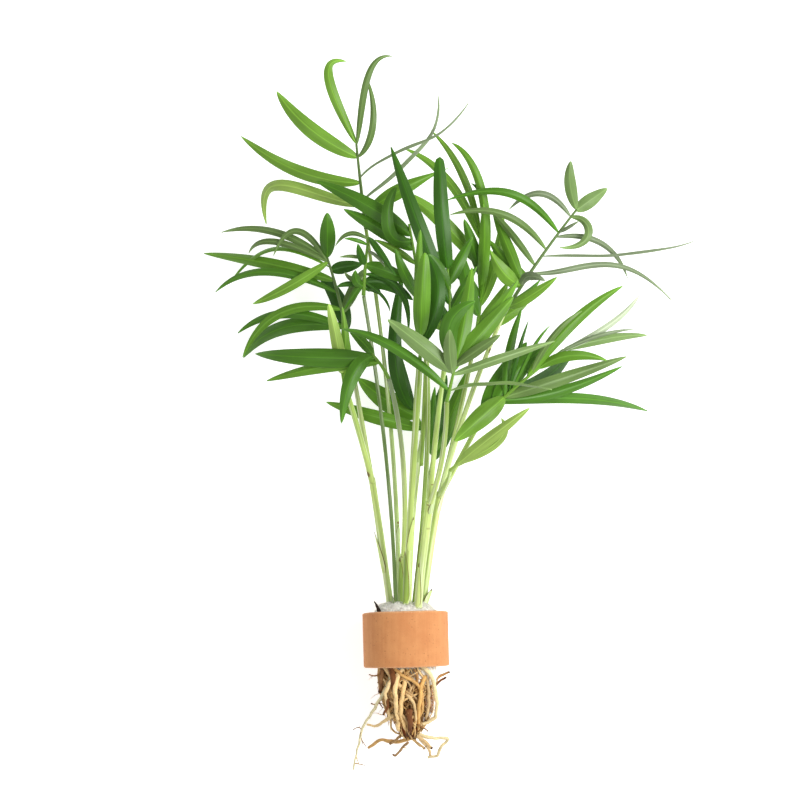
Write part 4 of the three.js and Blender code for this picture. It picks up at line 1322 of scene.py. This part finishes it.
@dataclass
class Stalks:
    """Every stem: its limbs as ridged tubes, with loose sheath tips and dry marks."""

    sides: int = 20
    step: float = 1.1  # millimetres from ring to ring
    ridges: int = 5
    ridge: float = 0.035  # heights of ridges and waves, as shares of the radius
    wave: float = 0.03
    wave_length: float = 5.0  # millimetres for each radian
    wind: float = 1.5  # radians by which the ridges turn over a limb
    grain_gap: float = 40.0  # millimetres of grain between one limb and the next
    flap_rows: int = 20
    flap_sides: int = 24
    flap_shell: float = 0.1  # half its thickness
    flap_clear: float = 0.3  # share of the way over which it comes out of its limb
    flap_hug: Plan = (0.82, 0.24)  # shares of the limb's radius at its foot, and what it gains
    flap_point: float = 1.6  # the power by which its arc narrows
    flap_dry: Plan = (0.86, 1.4)  # where its point turns dry, and how strongly
    tips: dict[str, tuple[Array, Array]] = field(default_factory=dict)

    def measure(self, thicket: Thicket) -> None:
        """Notes where each stalk ends and in which direction, and claims its space.

        Args:
            thicket: What the space is claimed in.
        """
        for stem, limbs in STEMS.items():
            for limb in limbs:
                curve = limb.curve()
                end = np.ones(1)
                self.tips[limb.name] = (curve.at(end)[0], curve.along(end)[0])
                thicket.claim_round(curve, limb.thick[0], stem)

    def tube(self, surface: Surface, limb: Limb, seed: int) -> None:
        """Adds one limb.

        Radius = the taper between the two ends, times low ridges round it and a slow wave along
        it. Colour runs from the limb's first tone to its second, and age peaks at its marks.

        Args:
            surface: What the limb is added to.
            limb: The limb.
            seed: What its wave and its grain start from.
        """
        curve = limb.curve()
        length = curve.length()
        share = np.linspace(0, 1, math.ceil(length / self.step) + 1)
        angle = turns(self.sides)
        across, out = curve.axes(share)
        slow = 1 + self.wave * np.sin(share * length / self.wave_length + seed)
        ridged = 1 + self.ridge * np.cos(angle * self.ridges + seed + share[:, None] * self.wind)
        radius = (between(limb.thick, share) / 2 * slow)[:, None] * ridged
        path = curve.at(share)
        points = tube(path, across, out, radius * np.cos(angle), radius * np.sin(angle))
        along = (share * length + self.grain_gap * seed)[:, None]
        tone = between([tone.value for tone in limb.tones], smooth(share, 0.0, 1.0)[:, None, None])
        age = sum((mark.age(path, angle) for mark in MARKS if mark.limb == limb.name), np.zeros(radius.shape))
        surface.add(points, joined(np.cos(angle) + seed, np.sin(angle), along), coloured(tone), age)

    def flap(self, surface: Surface, limb: Limb, flap: Flap, seed: int) -> None:
        """Adds a sheath's loose pointed tip.

        The flap is a thin shell over part of its limb: its arc narrows to a point, and it lifts
        off as the square of the way to that point. Its rim and tip are old and brown.

        Args:
            surface: What the flap is added to.
            limb: The limb that it lies on.
            flap: The flap.
            seed: What its grain starts from.
        """
        curve = limb.curve()
        share = np.linspace(flap.at, flap.at + flap.length / curve.length(), self.flap_rows)
        way = np.linspace(0, 1, self.flap_rows)[:, None]
        across, out = curve.axes(np.minimum(share, 1.0))
        ring = turns(self.flap_sides)
        place, shell = -np.cos(ring), np.sin(ring)
        clear = smooth(way, 0.0, self.flap_clear)
        arc = math.radians(flap.arc) * (1 - way**self.flap_point) * (0.4 + 0.6 * clear) + 0.02
        angle = math.radians(90 - flap.side) + arc * place
        radius = between(limb.thick, share[:, None]) / 2
        hug, gain = self.flap_hug
        reach = radius * (hug + gain * clear) + self.flap_shell * shell + flap.lift * way**2
        points = tube(curve.at(share), across, out, reach * np.cos(angle), reach * np.sin(angle))
        grain = joined(np.cos(angle), np.sin(angle), way * flap.length + self.grain_gap * seed)
        rim = smooth(np.abs(place), 0.72, 0.98) * smooth(way, -0.2, 0.4)
        point, strength = self.flap_dry
        age = flap.dry * np.maximum(rim, smooth(way, point, 1.0)) * strength
        surface.add(points, grain, coloured(flap.tone), age)

    def build(self, bench: Bench) -> None:
        """Builds one piece for each stem.

        Args:
            bench: Where it is placed, and what it is dressed in.
        """
        seed = 0
        for stem, limbs in STEMS.items():
            surface = Surface()
            for limb in limbs:
                seed += 1
                self.tube(surface, limb, seed)
                for flap in FLAPS:
                    if flap.limb == limb.name:
                        self.flap(surface, limb, flap, seed)
            surface.piece(stem.replace("stem", "stalks"), "stalk", bench, stem)


@dataclass
class Foliage:
    """Every frond: a rib and keeled, pleated leaflets, each a thin closed blade."""

    rule: Rule
    rows: int = 34
    columns: int = 13
    crowding: float = 0.07  # how far the rows draw together at both ends
    thick: float = 0.34
    pleats: int = 2
    pleat: float = 0.05
    wave: float = 0.3
    waves: Plan = (1.2, 2.4)  # fewest and most over a blade
    twist: float = 12.0  # most degrees
    still: float = 0.3  # the share of the way at which the twist is none
    lowest: float = 0.1  # millimetres from the floor to a blade
    crease: Plan = (0.02, 0.14)  # rounds the fold, and brings it back to the midrib
    under: float = -0.05  # the share of the shell's height below which it is underside
    shades: Plan = (0.9, 1.1)
    ends_light: float = 0.25  # how much lighter a blade's ends are
    dry: Plan = (0.985, 0.75)  # where a blade's tip turns dry, and the most that it does
    grains: float = 40.0  # how far apart two blades' grains may lie
    rib_rows: int = 28
    rib_sides: int = 12
    rib_grain: float = 9.0

    def blade(self, surface: Surface, leaflet: Leaflet, curve: Curve, rng: np.random.Generator) -> None:
        """Adds one leaflet.

        Across the blade, with v from -1 to 1 over the half width h: x = v * h and
        z = -|v| * h * tan(fold) + pleats * cos(2 pi n v) + wave * v^2 * sin along, plus or minus
        half the thickness in an ellipse. The roll adds a slow twist to the row's own.

        Args:
            surface: What the leaflet is added to.
            leaflet: The leaflet's row.
            curve: Where it grew.
            rng: The generator that deals out its wave, twist and shade.
        """
        length = curve.length()
        even = np.linspace(0, 1, self.rows)
        share = even - self.crowding * np.sin(math.tau * even)
        twist = rng.uniform(-self.twist, self.twist)
        across, out = curve.axes(share, leaflet.roll + twist * (share - self.still))
        half = self.rule.half_width(leaflet, length)(share)[:, None]
        ring = turns(2 * (self.columns - 1))
        v, shell = np.cos(ring), np.sin(ring)
        rounding, back = self.crease
        keel = -(np.sqrt(v**2 + rounding) - back) * half * math.tan(math.radians(leaflet.fold))
        phase, waves = rng.uniform(0, math.tau), rng.uniform(*self.waves)
        wave = self.wave * v**2 * np.sin(math.tau * waves * share + phase)[:, None]
        pleats = self.pleat * np.cos(math.tau * self.pleats * v) * np.minimum(half / 2, 1)
        high = keel + wave + pleats + shell * self.thick / 2
        points = tube(curve.at(share), across, out, half * v, high)
        points[..., 2] -= np.minimum(points[..., 2].min(axis=1) - self.lowest, 0.0)[:, None]
        grain = joined(half * v, rng.uniform(0, self.grains), (share * length)[:, None])
        side = np.broadcast_to(np.where(shell < self.under, 1.0, 0.0), high.shape)
        tone = coloured(np.array(leaflet.tone.value) * rng.uniform(*self.shades), side)
        tone[..., :3] *= 1 + self.ends_light * smooth(np.abs(share - 0.5), 0.3, 0.5)[:, None, None]
        start, most = self.dry
        age = most * smooth(share, start, 1.0)[:, None] * rng.uniform(0, 1)
        surface.add(points, grain, tone, age)

    def rib(self, surface: Surface, curve: Curve, tone: Tone) -> None:
        """Adds a frond's rib, a tube that tapers from the stalk's end.

        Args:
            surface: What it is added to.
            curve: The rib's curve.
            tone: Its colour.
        """
        share = np.linspace(0, 1, self.rib_rows)
        radius = between(self.rule.rib, share)[:, None] / 2
        ring = turns(self.rib_sides)
        wide, high = radius * np.cos(ring), radius * np.sin(ring)
        grain = joined(self.rib_grain, wide, (share * curve.length())[:, None])
        surface.add(tube(curve.at(share), *curve.axes(share), wide, high), grain, coloured(tone))

    def build(self, thicket: Thicket, stalks: Stalks, bench: Bench) -> None:
        """Grows every frond in the source's order, and makes a piece of each.

        Args:
            thicket: What each blade has to be clear of.
            stalks: What carries the fronds.
            bench: Where it is placed, and what it is dressed in.
        """
        ribs = {}
        for frond in FRONDS:
            point, along = stalks.tips[frond.stalk]
            ribs[frond.name] = Curve.of(point + along * self.rule.gap, frond.over, frond.end)
            thicket.claim_round(ribs[frond.name], self.rule.rib[0], frond.name)
        for number, frond in enumerate(FRONDS):
            rng = np.random.default_rng(SEED + number)
            rib = ribs[frond.name]
            surface = Surface()
            self.rib(surface, rib, frond.rib)
            for leaflet in frond.leaflets:
                curve = thicket.grow(leaflet, rib.at(np.array([leaflet.at]))[0], frond.name)
                if curve is None:
                    log.info("%s: the leaflet to %s has no room", frond.name, leaflet.tip)
                    continue
                self.blade(surface, leaflet, curve, rng)
            name = frond.name.replace("frond", "leaves").replace("spear", "young_leaves")
            surface.piece(name, "leaf", bench, frond.name)


@dataclass
class Roots:
    """The bare roots: a dark core, strands that wind over it, free roots, rootlets and hairs."""

    middle: Point = (0.7, 0.0, 17.5)
    profile: tuple[Plan, ...] = (  # places along the plant, with the bundle's half width there
        (-43.5, 1.5), (-40, 4.6), (-36, 7.2), (-30, 9.6), (-22, 11.4), (-11, 11.8), (-6, 9.0)
    )
    depth: float = 0.92  # the bundle's height as a share of its width
    lean: float = 1.0  # by which its end lies to the right
    core_ends: Plan = (-6.5, -41.0)
    core_grid: tuple[int, int] = (44, 56)
    core_share: float = 0.6  # of the bundle's half width
    core_age: float = 0.3
    strands: int = 230
    strand_rows: int = 44
    strand_sides: int = 8
    strand_tops: Plan = (-14.0, -8.0)
    strand_tips: Plan = (-42.0, -24.0)
    strand_drift: float = 0.9  # radians
    strand_sway: Plan = (0.05, 0.5)
    strand_thick: Plan = (0.16, 0.6)  # the least radius, and what the thickest adds
    strand_taper: float = 0.4
    strand_depths: Plan = (0.76, 1.0)  # shares of the bundle's half width
    strand_browns: Plan = (-0.3, 0.7)
    deep_each: int = 3  # one strand in three lies deeper and is darker
    deep_depths: Plan = (0.6, 0.78)
    deep_brown: float = 0.8
    knot: float = 0.13  # share of the radius
    free_rows: int = 14  # rows between two points of a free root
    waver: float = 0.22
    waver_length: float = 6.0
    fine_rows: int = 14
    fine_sides: int = 5
    fine_taper: float = 0.7
    rootlets: tuple[int, Plan, Plan] = (170, (2.0, 6.0), (0.16, 0.32))  # number, lengths and radii
    hairs: tuple[int, Plan, Plan] = (420, (0.8, 2.6), (0.06, 0.12))
    tan: Colour = linear(218, 170, 98)
    pale: Colour = linear(240, 212, 158)
    cream: Colour = linear(214, 206, 166)
    brown: Colour = linear(116, 72, 40)
    dark: Colour = linear(134, 70, 30)
    grey: Colour = linear(104, 88, 72)
    limits: tuple[Point, Point] = ((-22.4, -55.0, 0.3), (18.6, -8.0, 31.0))
    paths: list[tuple[Array, float]] = field(default_factory=list)

    def around(self, y: Array, angle: Array, share: Array) -> Array:
        """Gives points round the bundle's middle at an angle and a share of its half width.

        Args:
            y: Places along the plant.
            angle: Angles round the bundle.
            share: Shares of its half width.

        Returns:
            The points.
        """
        far = np.interp(y, *zip(*self.profile)) * share
        x = self.middle[0] + self.lean * smooth(y, -24.0, -40.0) + far * np.cos(angle)
        return np.stack([x, y, self.middle[2] + far * self.depth * np.sin(angle)], axis=-1)

    def core(self, surface: Surface) -> None:
        """Adds the core: a shape that follows the profile, thinner than it and rough with ripples.

        Args:
            surface: What it is added to.
        """
        rows, columns = self.core_grid
        y, angle = np.broadcast_arrays(np.linspace(*self.core_ends, rows)[:, None], turns(columns)[::-1])
        points = self.around(y, angle, np.full(y.shape, self.core_share))
        rough = 1 + 0.09 * ripple(points, 4.0, 5) + 0.05 * ripple(points, 1.7, 6)
        points = self.around(y, angle, self.core_share * rough)
        surface.add(points, points, coloured(self.dark), self.core_age)

    def wind(self, surface: Surface, rng: np.random.Generator) -> None:
        """Adds the strands that wind over the core.

        A strand runs down the bundle at its own angle, which drifts and wavers; its distance from
        the middle is the profile's half width times a share near 1.

        Args:
            surface: What they are added to.
            rng: The generator that deals them out.
        """
        share = np.linspace(0, 1, self.strand_rows)
        for number in range(self.strands):
            deep = number % self.deep_each == 0
            y = between((rng.uniform(*self.strand_tops), rng.uniform(*self.strand_tips)), share)
            angle = rng.uniform(0, math.tau) + rng.normal(0, self.strand_drift) * share
            sway = rng.uniform(*self.strand_sway)
            angle = angle + sway * np.sin(share * rng.uniform(4, 12) + rng.uniform(0, 6))
            depth = rng.uniform(*(self.deep_depths if deep else self.strand_depths))
            far = depth * (1 + 0.1 * np.sin(share * rng.uniform(6, 16) + rng.uniform(0, 6)))
            least, more = self.strand_thick
            radius = (least + more * rng.uniform(0, 1) ** 2.2) * (1 - self.strand_taper * share)
            brown = self.deep_brown if deep else rng.uniform(*self.strand_browns)
            self.root(surface, self.around(y, angle, far), radius, rng, brown)

    def root(
        self, surface: Surface, path: Array, radius: Array, rng: np.random.Generator, brown: float
    ) -> None:
        """Adds one root along a path.

        Args:
            surface: What it is added to.
            path: Its points.
            radius: Its radius at each of them, to which knots are added.
            rng: The generator that deals out its knots and its shade.
            brown: How brown it is, from 0 to 1, or how creamy where it is below 0.
        """
        share = np.linspace(0, 1, len(path))
        wave = np.sin(share * rng.uniform(9, 26) + rng.uniform(0, 6))
        points = strand(path, radius * (1 + self.knot * wave * rng.uniform(0.3, 1)), self.strand_sides)
        fair = between((self.tan, self.pale), rng.uniform(0, 1))
        colour = between((fair, self.brown if brown > 0 else self.cream), abs(brown))
        dirt = 0.3 * smooth(np.sin(share * rng.uniform(4, 11) + rng.uniform(0, 6)), 0.5, 1.0)
        tips = (0.3 + 0.5 * max(brown, 0.0)) * smooth(share, 0.8, 1.0)
        surface.add(points, points, coloured(colour), (dirt + tips + 0.3 * brown)[:, None])
        self.paths.append((path, float(radius.mean())))

    def free(self, surface: Surface, rng: np.random.Generator) -> None:
        """Adds the free roots, which waver a little about the lines through their points.

        Args:
            surface: What they are added to.
            rng: The generator that deals them out.
        """
        for row in FREE_ROOTS:
            path = through(np.array(row.through, float), self.free_rows)
            share = np.linspace(0, 1, len(path))
            waver = joined(*(ripple(path + k * 50, self.waver_length, 7 + k) for k in range(3)))
            path = path + self.waver * waver * smooth(share, 0.05, 0.4)[:, None]
            self.root(surface, path, between(row.thick, share**0.8) / 2, rng, row.brown)

    def branch(
        self, surface: Surface, rng: np.random.Generator, count: int, long: Plan, thick: Plan
    ) -> None:
        """Adds finer roots that leave the ones made so far.

        Each sets out sideways from its parent, droops, wavers and tapers to a point.

        Args:
            surface: What they are added to.
            rng: The generator that deals them out.
            count: How many.
            long: The shortest and longest.
            thick: The thinnest and thickest, as radii.
        """
        share = np.linspace(0, 1, self.fine_rows)[:, None]
        for _ in range(count):
            path, stout = self.paths[rng.integers(len(self.paths))]
            place = rng.integers(len(path) // 5, len(path) - 1)
            along = unit(path[place + 1] - path[place])
            aside = unit(rng.normal(size=3) * np.array([1, 1, 0.6]) + along * 0.8 + np.array([0, -0.35, 0]))
            length = rng.uniform(*long)
            bend = rng.normal(size=3) * length * 0.3 + np.array([0, 0, -0.12 * length])
            curl = 0.06 * length * np.sin(share * rng.uniform(4, 10)) * rng.normal(size=3)
            grown = path[place] + aside * length * share + bend * share**2 + curl
            grown = np.clip(grown, *self.limits)
            radius = min(rng.uniform(*thick), stout * 0.8) * (1 - self.fine_taper * share[:, 0])
            points = strand(grown, radius, self.fine_sides)
            colour = between((self.tan, self.grey), rng.uniform(0.2, 1))
            surface.add(points, points, coloured(colour), 0.2 + 0.3 * rng.uniform(0, 1))

    def build(self, bench: Bench) -> None:
        """Builds the root ball and, apart from it, the fine roots.

        Args:
            bench: Where it is placed, and what it is dressed in.
        """
        rng = np.random.default_rng(SEED + 50)
        ball, fine = Surface(), Surface()
        self.core(ball)
        self.wind(ball, rng)
        self.free(ball, rng)
        ball.piece("root_strands", "root", bench, "roots")
        self.branch(fine, rng, *self.rootlets)
        self.branch(fine, rng, *self.hairs)
        fine.piece("root_hairs", "root", bench)


@dataclass
class Wool:
    """The mineral wool plug: a lumpy body that swells out of the ring, under a fuzz of fibres."""

    radius: float = 14.2
    top: float = 15.2
    bottom: float = 12.2
    rim: float = 10.8  # where the plug leaves the ring
    neck: float = 0.1  # by which it is slimmer outside the ring
    lumps: tuple[Plan, Plan] = ((0.3, 6.5), (0.16, 2.4))  # heights and pitches of its ripples
    grid: tuple[int, int] = (110, 130)
    fibres: int = 3400
    fibre: Plan = (0.03, 0.055)  # its radius
    reach: Plan = (0.8, 3.2)  # its length
    lift: Plan = (0.08, 0.4)  # shares of its length by which its middle stands off
    fibre_rows: int = 7
    fibre_sides: int = 3
    tuft_grid: tuple[int, int] = (60, 70)
    tuft_fibres: int = 6  # a tuft has a sixth of the plug's fibres
    tufts: tuple[tuple[Point, Point, float], ...] = (  # middle, reach and stain
        ((6.0, -14.5, 21.0), (8.0, 8.0, 7.0), 0.2),
        ((9.4, -24.0, 20.0), (3.0, 7.0, 4.4), 0.8),
    )

    def body(self) -> Array:
        """Gives the plug's grid about the ring's centre.

        Its profile is a box with rounded shoulders, (r / radius)^4 + (y / end)^6 = 1, and ripples
        of two pitches push each point in or out where it stands clear of the ring.

        Returns:
            The grid of points.
        """
        rise = np.linspace(-0.496, 0.496, self.grid[0])[:, None] * math.pi
        angle = turns(self.grid[1])
        end = np.where(rise > 0, self.top, self.bottom)
        y = end * np.sign(rise) * np.abs(np.sin(rise)) ** (1 / 3)
        neck = 1 - self.neck * smooth(np.abs(y), self.rim - 1.5, self.rim + 1.5)
        ring = self.radius * np.cos(rise) ** 0.38 * neck
        points = joined(ring * np.cos(angle), y, ring * np.sin(angle))
        clear = smooth(np.abs(points[..., 1]), self.rim, self.rim + 2.0)[..., None]
        (high, wide), (low, narrow) = self.lumps
        lumps = high * ripple(points, wide, 11) + low * ripple(points, narrow, 12) - 0.05
        return points + unit(points * np.array([1, 0.8, 1])) * lumps[..., None] * clear

    def tuft(self, middle: Point, reach: Point, seed: int) -> Array:
        """Gives a loose tuft's grid: an egg about a place of its own, with deep ripples.

        Args:
            middle: Its middle.
            reach: Its half widths.
            seed: What its ripples start from.

        Returns:
            The grid of points.
        """
        rise = np.linspace(-0.49, 0.49, self.tuft_grid[0])[:, None] * math.pi
        angle = turns(self.tuft_grid[1])
        ring = np.cos(rise)
        shape = joined(ring * np.cos(angle), np.sin(rise), ring * np.sin(angle))
        lumps = 0.86 + 0.1 * ripple(shape, 1.1, seed) + 0.05 * ripple(shape, 0.4, seed + 1)
        return np.array(middle) + shape * lumps[..., None] * np.array(reach)

    def fuzz(self, surface: Surface, body: Array, count: int, rng: np.random.Generator) -> None:
        """Lays fibres over a grid, each an arc that lies along the surface and lifts in its middle.

        Args:
            surface: What the fibres are added to.
            body: The grid that they lie on.
            count: How many.
            rng: The generator that deals them out.
        """
        heart = body.reshape(-1, 3).mean(axis=0)
        share = np.linspace(0, 1, self.fibre_rows)[:, None]
        rows, columns = rng.integers(len(body), size=count), rng.integers(body.shape[1], size=count)
        for foot in body[rows, columns]:
            facing = unit(foot - heart)
            lying = unit(np.cross(facing, rng.normal(size=3)))
            reach = rng.uniform(*self.reach)
            lift = rng.uniform(*self.lift) * reach * np.sin(math.pi * share)
            path = foot + lying * reach * (share - 0.5) + facing * lift
            path = path + rng.normal(size=3) * 0.1 * np.sin(share * 5)
            points = strand(path, np.full(self.fibre_rows, rng.uniform(*self.fibre)), self.fibre_sides)
            surface.add(points, points, coloured(Tone.SILVER))

    def build(self, bench: Bench) -> None:
        """Builds the plug, the loose tufts among the roots and the fuzz on both.

        Args:
            bench: Where it is placed, and what it is dressed in.
        """
        rng = np.random.default_rng(SEED + 60)
        plug = self.body()
        ends = np.abs(plug[:, 0, 1]) > self.rim
        placed = bench.seat(plug)
        surface, fuzz = Surface(), Surface()
        stain = smooth(plug[..., 1], -self.rim, -self.rim - 2.0) * smooth(plug[..., 0], 4.0, -1.0)
        surface.add(placed, plug, coloured(Tone.SILVER), stain)
        self.fuzz(fuzz, placed[ends], self.fibres, rng)
        for number, (middle, reach, dirt) in enumerate(self.tufts):
            grid = self.tuft(middle, reach, 31 + number)
            surface.add(grid, grid, coloured(Tone.SILVER), dirt)
            self.fuzz(fuzz, grid, self.fibres // self.tuft_fibres, rng)
        surface.piece("wool_body", "wool", bench, "wool_plug")
        fuzz.piece("wool_fuzz", "wool", bench)


@dataclass
class ClayRing:
    """The open clay ring: a thick wall with rubbed, slightly chipped rims."""

    radius: float = 18.0
    wall: float = 3.6
    length: float = 22.8
    edge: float = 0.7  # radius of its rounded edges
    crown: float = 0.9  # by which its upper rim bulges along the plant
    around: int = 288
    edge_rows: int = 7
    side_rows: int = 24
    dent: Plan = (0.025, 1.2)  # height of its ripples, and how many heights they lie inwards
    chip: Plan = (0.22, 0.3)  # how deep its sides and its ends are chipped

    def section(self) -> Array:
        """Gives the wall's outline as radius and place along the axis: a box with round corners.

        Returns:
            The outline's points, one a row.
        """
        quarter = np.linspace(0, math.pi / 2, self.edge_rows)
        wide, long = self.wall / 2 - self.edge, self.length / 2 - self.edge
        arcs = []
        for number, (x, y) in enumerate(((1, 1), (-1, 1), (-1, -1), (1, -1))):
            angle = quarter + number * math.pi / 2
            arcs.append(joined(x * wide + self.edge * np.cos(angle), y * long + self.edge * np.sin(angle)))
        pairs = zip(arcs, arcs[1:] + arcs[:1])
        sides = [np.linspace(first[-1], second[0], self.side_rows + 2)[1:-1] for first, second in pairs]
        loop = np.concatenate([part for pair in zip(arcs, sides) for part in pair])
        return loop + np.array([self.radius - self.wall / 2, 0.0])

    def build(self, bench: Bench) -> None:
        """Builds the ring.

        Each point of the section is carried round the axis. Ripples press the surface in by up to
        a tenth of a millimetre, and by more at the rims, where the clay has chipped.

        Args:
            bench: Where it is placed, and what it is dressed in.
        """
        radius, y = self.section().T
        angle = turns(self.around)[:, None]
        points = joined(radius * np.sin(angle), y, radius * np.cos(angle))
        rim = smooth(np.abs(points[..., 1]), self.length / 2 - 1.3, self.length / 2 - 0.1)
        chips = np.clip(ripple(points, 2.4, 21) * 0.5 + ripple(points, 0.9, 22) * 0.3 - 0.25, 0, 1)
        dents = self.dent[0] * (ripple(points, 6.0, 23) - self.dent[1])
        outer = smooth(radius, self.radius - self.wall / 2, self.radius - 0.3)
        axis = np.array([0, 1, 0])
        outwards = unit(points * (1 - axis)) * np.where(outer > 0.5, 1.0, -1.0)[None, :, None]
        ends = axis * np.sign(y)[None, :, None] * rim[..., None]
        side, end = self.chip
        points = points + outwards * (dents - side * chips * rim)[..., None] - ends * end * chips[..., None]
        crown = smooth(points[..., 1], 0.0, self.length / 2) * smooth(np.cos(angle), -0.2, 1.0)
        points[..., 1] += self.crown * crown
        worn = np.clip(rim * 0.8 + chips * rim * 0.5, 0, 1)
        surface = Surface()
        surface.add(bench.seat(points), points, coloured(Tone.SILVER), worn, ends=False)
        surface.piece("ring_wall", "clay", bench, "clay_ring")


@dataclass
class DeadSheath:
    """The dark dry sheath beside the stalks, split and curled at its point."""

    start: Point = (-10.2, 8, 24)
    over: Point = (-11, 13, 26)
    end: Point = (-13.2, 16.2, 27.5)
    thick: Plan = (1.9, 0.5)
    shell: float = 0.16  # half its thickness
    curl: float = 35.0  # degrees by which it turns towards its point
    breadth: float = 0.62  # its half width as a share of thick
    fray: Plan = (0.12, 23.0)  # depth and number of the notches along its edges
    rows: int = 26
    columns: int = 20
    colour: Colour = linear(40, 30, 23)

    def build(self, bench: Bench) -> None:
        """Builds it: a curled blade whose section is an arc that opens towards the point.

        Args:
            bench: Where it is placed, and what it is dressed in.
        """
        curve = Curve.of(self.start, self.over, self.end)
        share = np.linspace(0, 1, self.rows)
        across, out = curve.axes(share, self.curl * share)
        half = between(self.thick, share[:, None] ** 1.3) * self.breadth
        ring = turns(self.columns)
        v, shell = np.cos(ring), np.sin(ring)
        notch, notches = self.fray
        frayed = 1 + notch * np.sin(share[:, None] * notches + v * 3)
        high = 0.5 * half * (0.6 - v**2) + shell * self.shell
        points = tube(curve.at(share), across, out, half * v * frayed, high)
        surface = Surface()
        grain = joined(v, shell, share[:, None] * curve.length())
        surface.add(points, grain, coloured(self.colour))
        surface.piece("dead_sheath", "root", bench, "old_sheath")


# ---- the studio -------------------------------------------------------------------------------


@dataclass(frozen=True)
class Lamp:
    """A square area light, by its side in metres and its watts.

    Its place is counted from the picture's middle in the plan, and from the floor in height.
    """

    name: str
    place: Point
    size: float
    power: float


@dataclass(frozen=True)
class Studio:
    """A pale floor, soft light from above and the right, and a camera that looks straight down."""

    view: Point = (-2.44, 100.6, 30.0)  # the picture's middle in the tables' millimetres
    width: float = 0.336  # metres across the picture
    away: float = 4.0
    sensor: float = 36.0
    far: float = 20.0  # how far the camera sees
    floor: float = 6.0
    drop: float = 0.0003  # by which the floor lies under the plant
    floor_glow: float = 0.55
    pale: tuple[Colour, Colour] = ((0.9, 0.9, 0.9), (0.93, 0.93, 0.925))
    sky: float = 0.42
    lamps: tuple[Lamp, ...] = (
        Lamp("key", (0.9, 0.15, 1.1), 0.8, 22.0),
        Lamp("fill", (-0.7, -0.3, 1.4), 1.2, 5.0),
    )

    def shade(self) -> Material:
        """Makes the floor's material: pale, and faintly lit so that shadows stay light.

        Returns:
            The material.
        """
        g = Graph("pale_floor")
        colour = g.mix(g.noise(g.place(), 3.0), *self.pale)
        glow = {"Emission_Color": (1.0, 1.0, 1.0, 1.0), "Emission_Strength": self.floor_glow}
        return g.finish(colour, 0.9, None, Specular_IOR_Level=0.0, **glow)

    def ground(self) -> None:
        """Lays the floor."""
        mesh = bpy.data.meshes.new("floor")
        half = self.floor / 2
        corners = [(-half, -half), (half, -half), (half, half), (-half, half)]
        mesh.from_pydata([(x, y, -self.drop) for x, y in corners], [], [(0, 1, 2, 3)])
        mesh.materials.append(self.shade())
        floor = bpy.data.objects.new("floor", mesh)
        bpy.context.scene.collection.objects.link(floor)

    def hang(self, lamp: Lamp, target: Array) -> None:
        """Hangs a lamp so that it faces the target.

        Args:
            lamp: The lamp.
            target: The point that it faces, in the frame's metres.
        """
        data = bpy.data.lights.new(lamp.name, "AREA")
        data.size = lamp.size
        data.energy = lamp.power
        made = bpy.data.objects.new(lamp.name, data)
        bpy.context.scene.collection.objects.link(made)
        place = np.array([target[0] + lamp.place[0], target[1] + lamp.place[1], lamp.place[2]])
        made.location = place
        facing = target - place
        tilt = math.atan2(math.hypot(facing[0], facing[1]), -facing[2])
        made.rotation_euler = (tilt, 0.0, math.atan2(facing[1], facing[0]) - math.pi / 2)

    def build(self, bench: Bench) -> None:
        """Sets up the floor, the lights, the world and the camera, over the ring's axis.

        Args:
            bench: Where the plant lies.
        """
        scene = bpy.context.scene
        scene.view_settings.view_transform = "Standard"
        self.ground()
        middle = bench.place(np.array(self.view))
        for lamp in self.lamps:
            self.hang(lamp, middle)
        scene.world = bpy.data.worlds.new("studio")
        scene.world.use_nodes = True
        sky = scene.world.node_tree.nodes["Background"]
        sky.inputs["Color"].default_value = (1.0, 1.0, 1.0, 1.0)
        sky.inputs["Strength"].default_value = self.sky
        data = bpy.data.cameras.new("camera")
        data.sensor_width = self.sensor
        data.lens = self.sensor * self.away / self.width
        data.clip_end = self.far
        scene.camera = bpy.data.objects.new("camera", data)
        scene.collection.objects.link(scene.camera)
        scene.camera.location = (middle[0], middle[1], bench.axis + self.away)


def main() -> None:
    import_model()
    finishes = {
        "leaf": LeafFinish(), "stalk": StalkFinish(), "root": RootFinish(), "wool": WoolFinish(),
        "clay": ClayFinish(),
    }
    bench = Bench.at_ring({slot: finish.material() for slot, finish in finishes.items()})
    Studio().build(bench)
    rule = Rule()
    thicket = Thicket(rule)
    stalks = Stalks()
    stalks.measure(thicket)
    stalks.build(bench)
    Foliage(rule).build(thicket, stalks, bench)
    for part in (ClayRing(), Wool(), DeadSheath(), Roots()):
        part.build(bench)


if __name__ == "__main__":
    logging.basicConfig(level=logging.INFO, format="%(message)s")
    main()
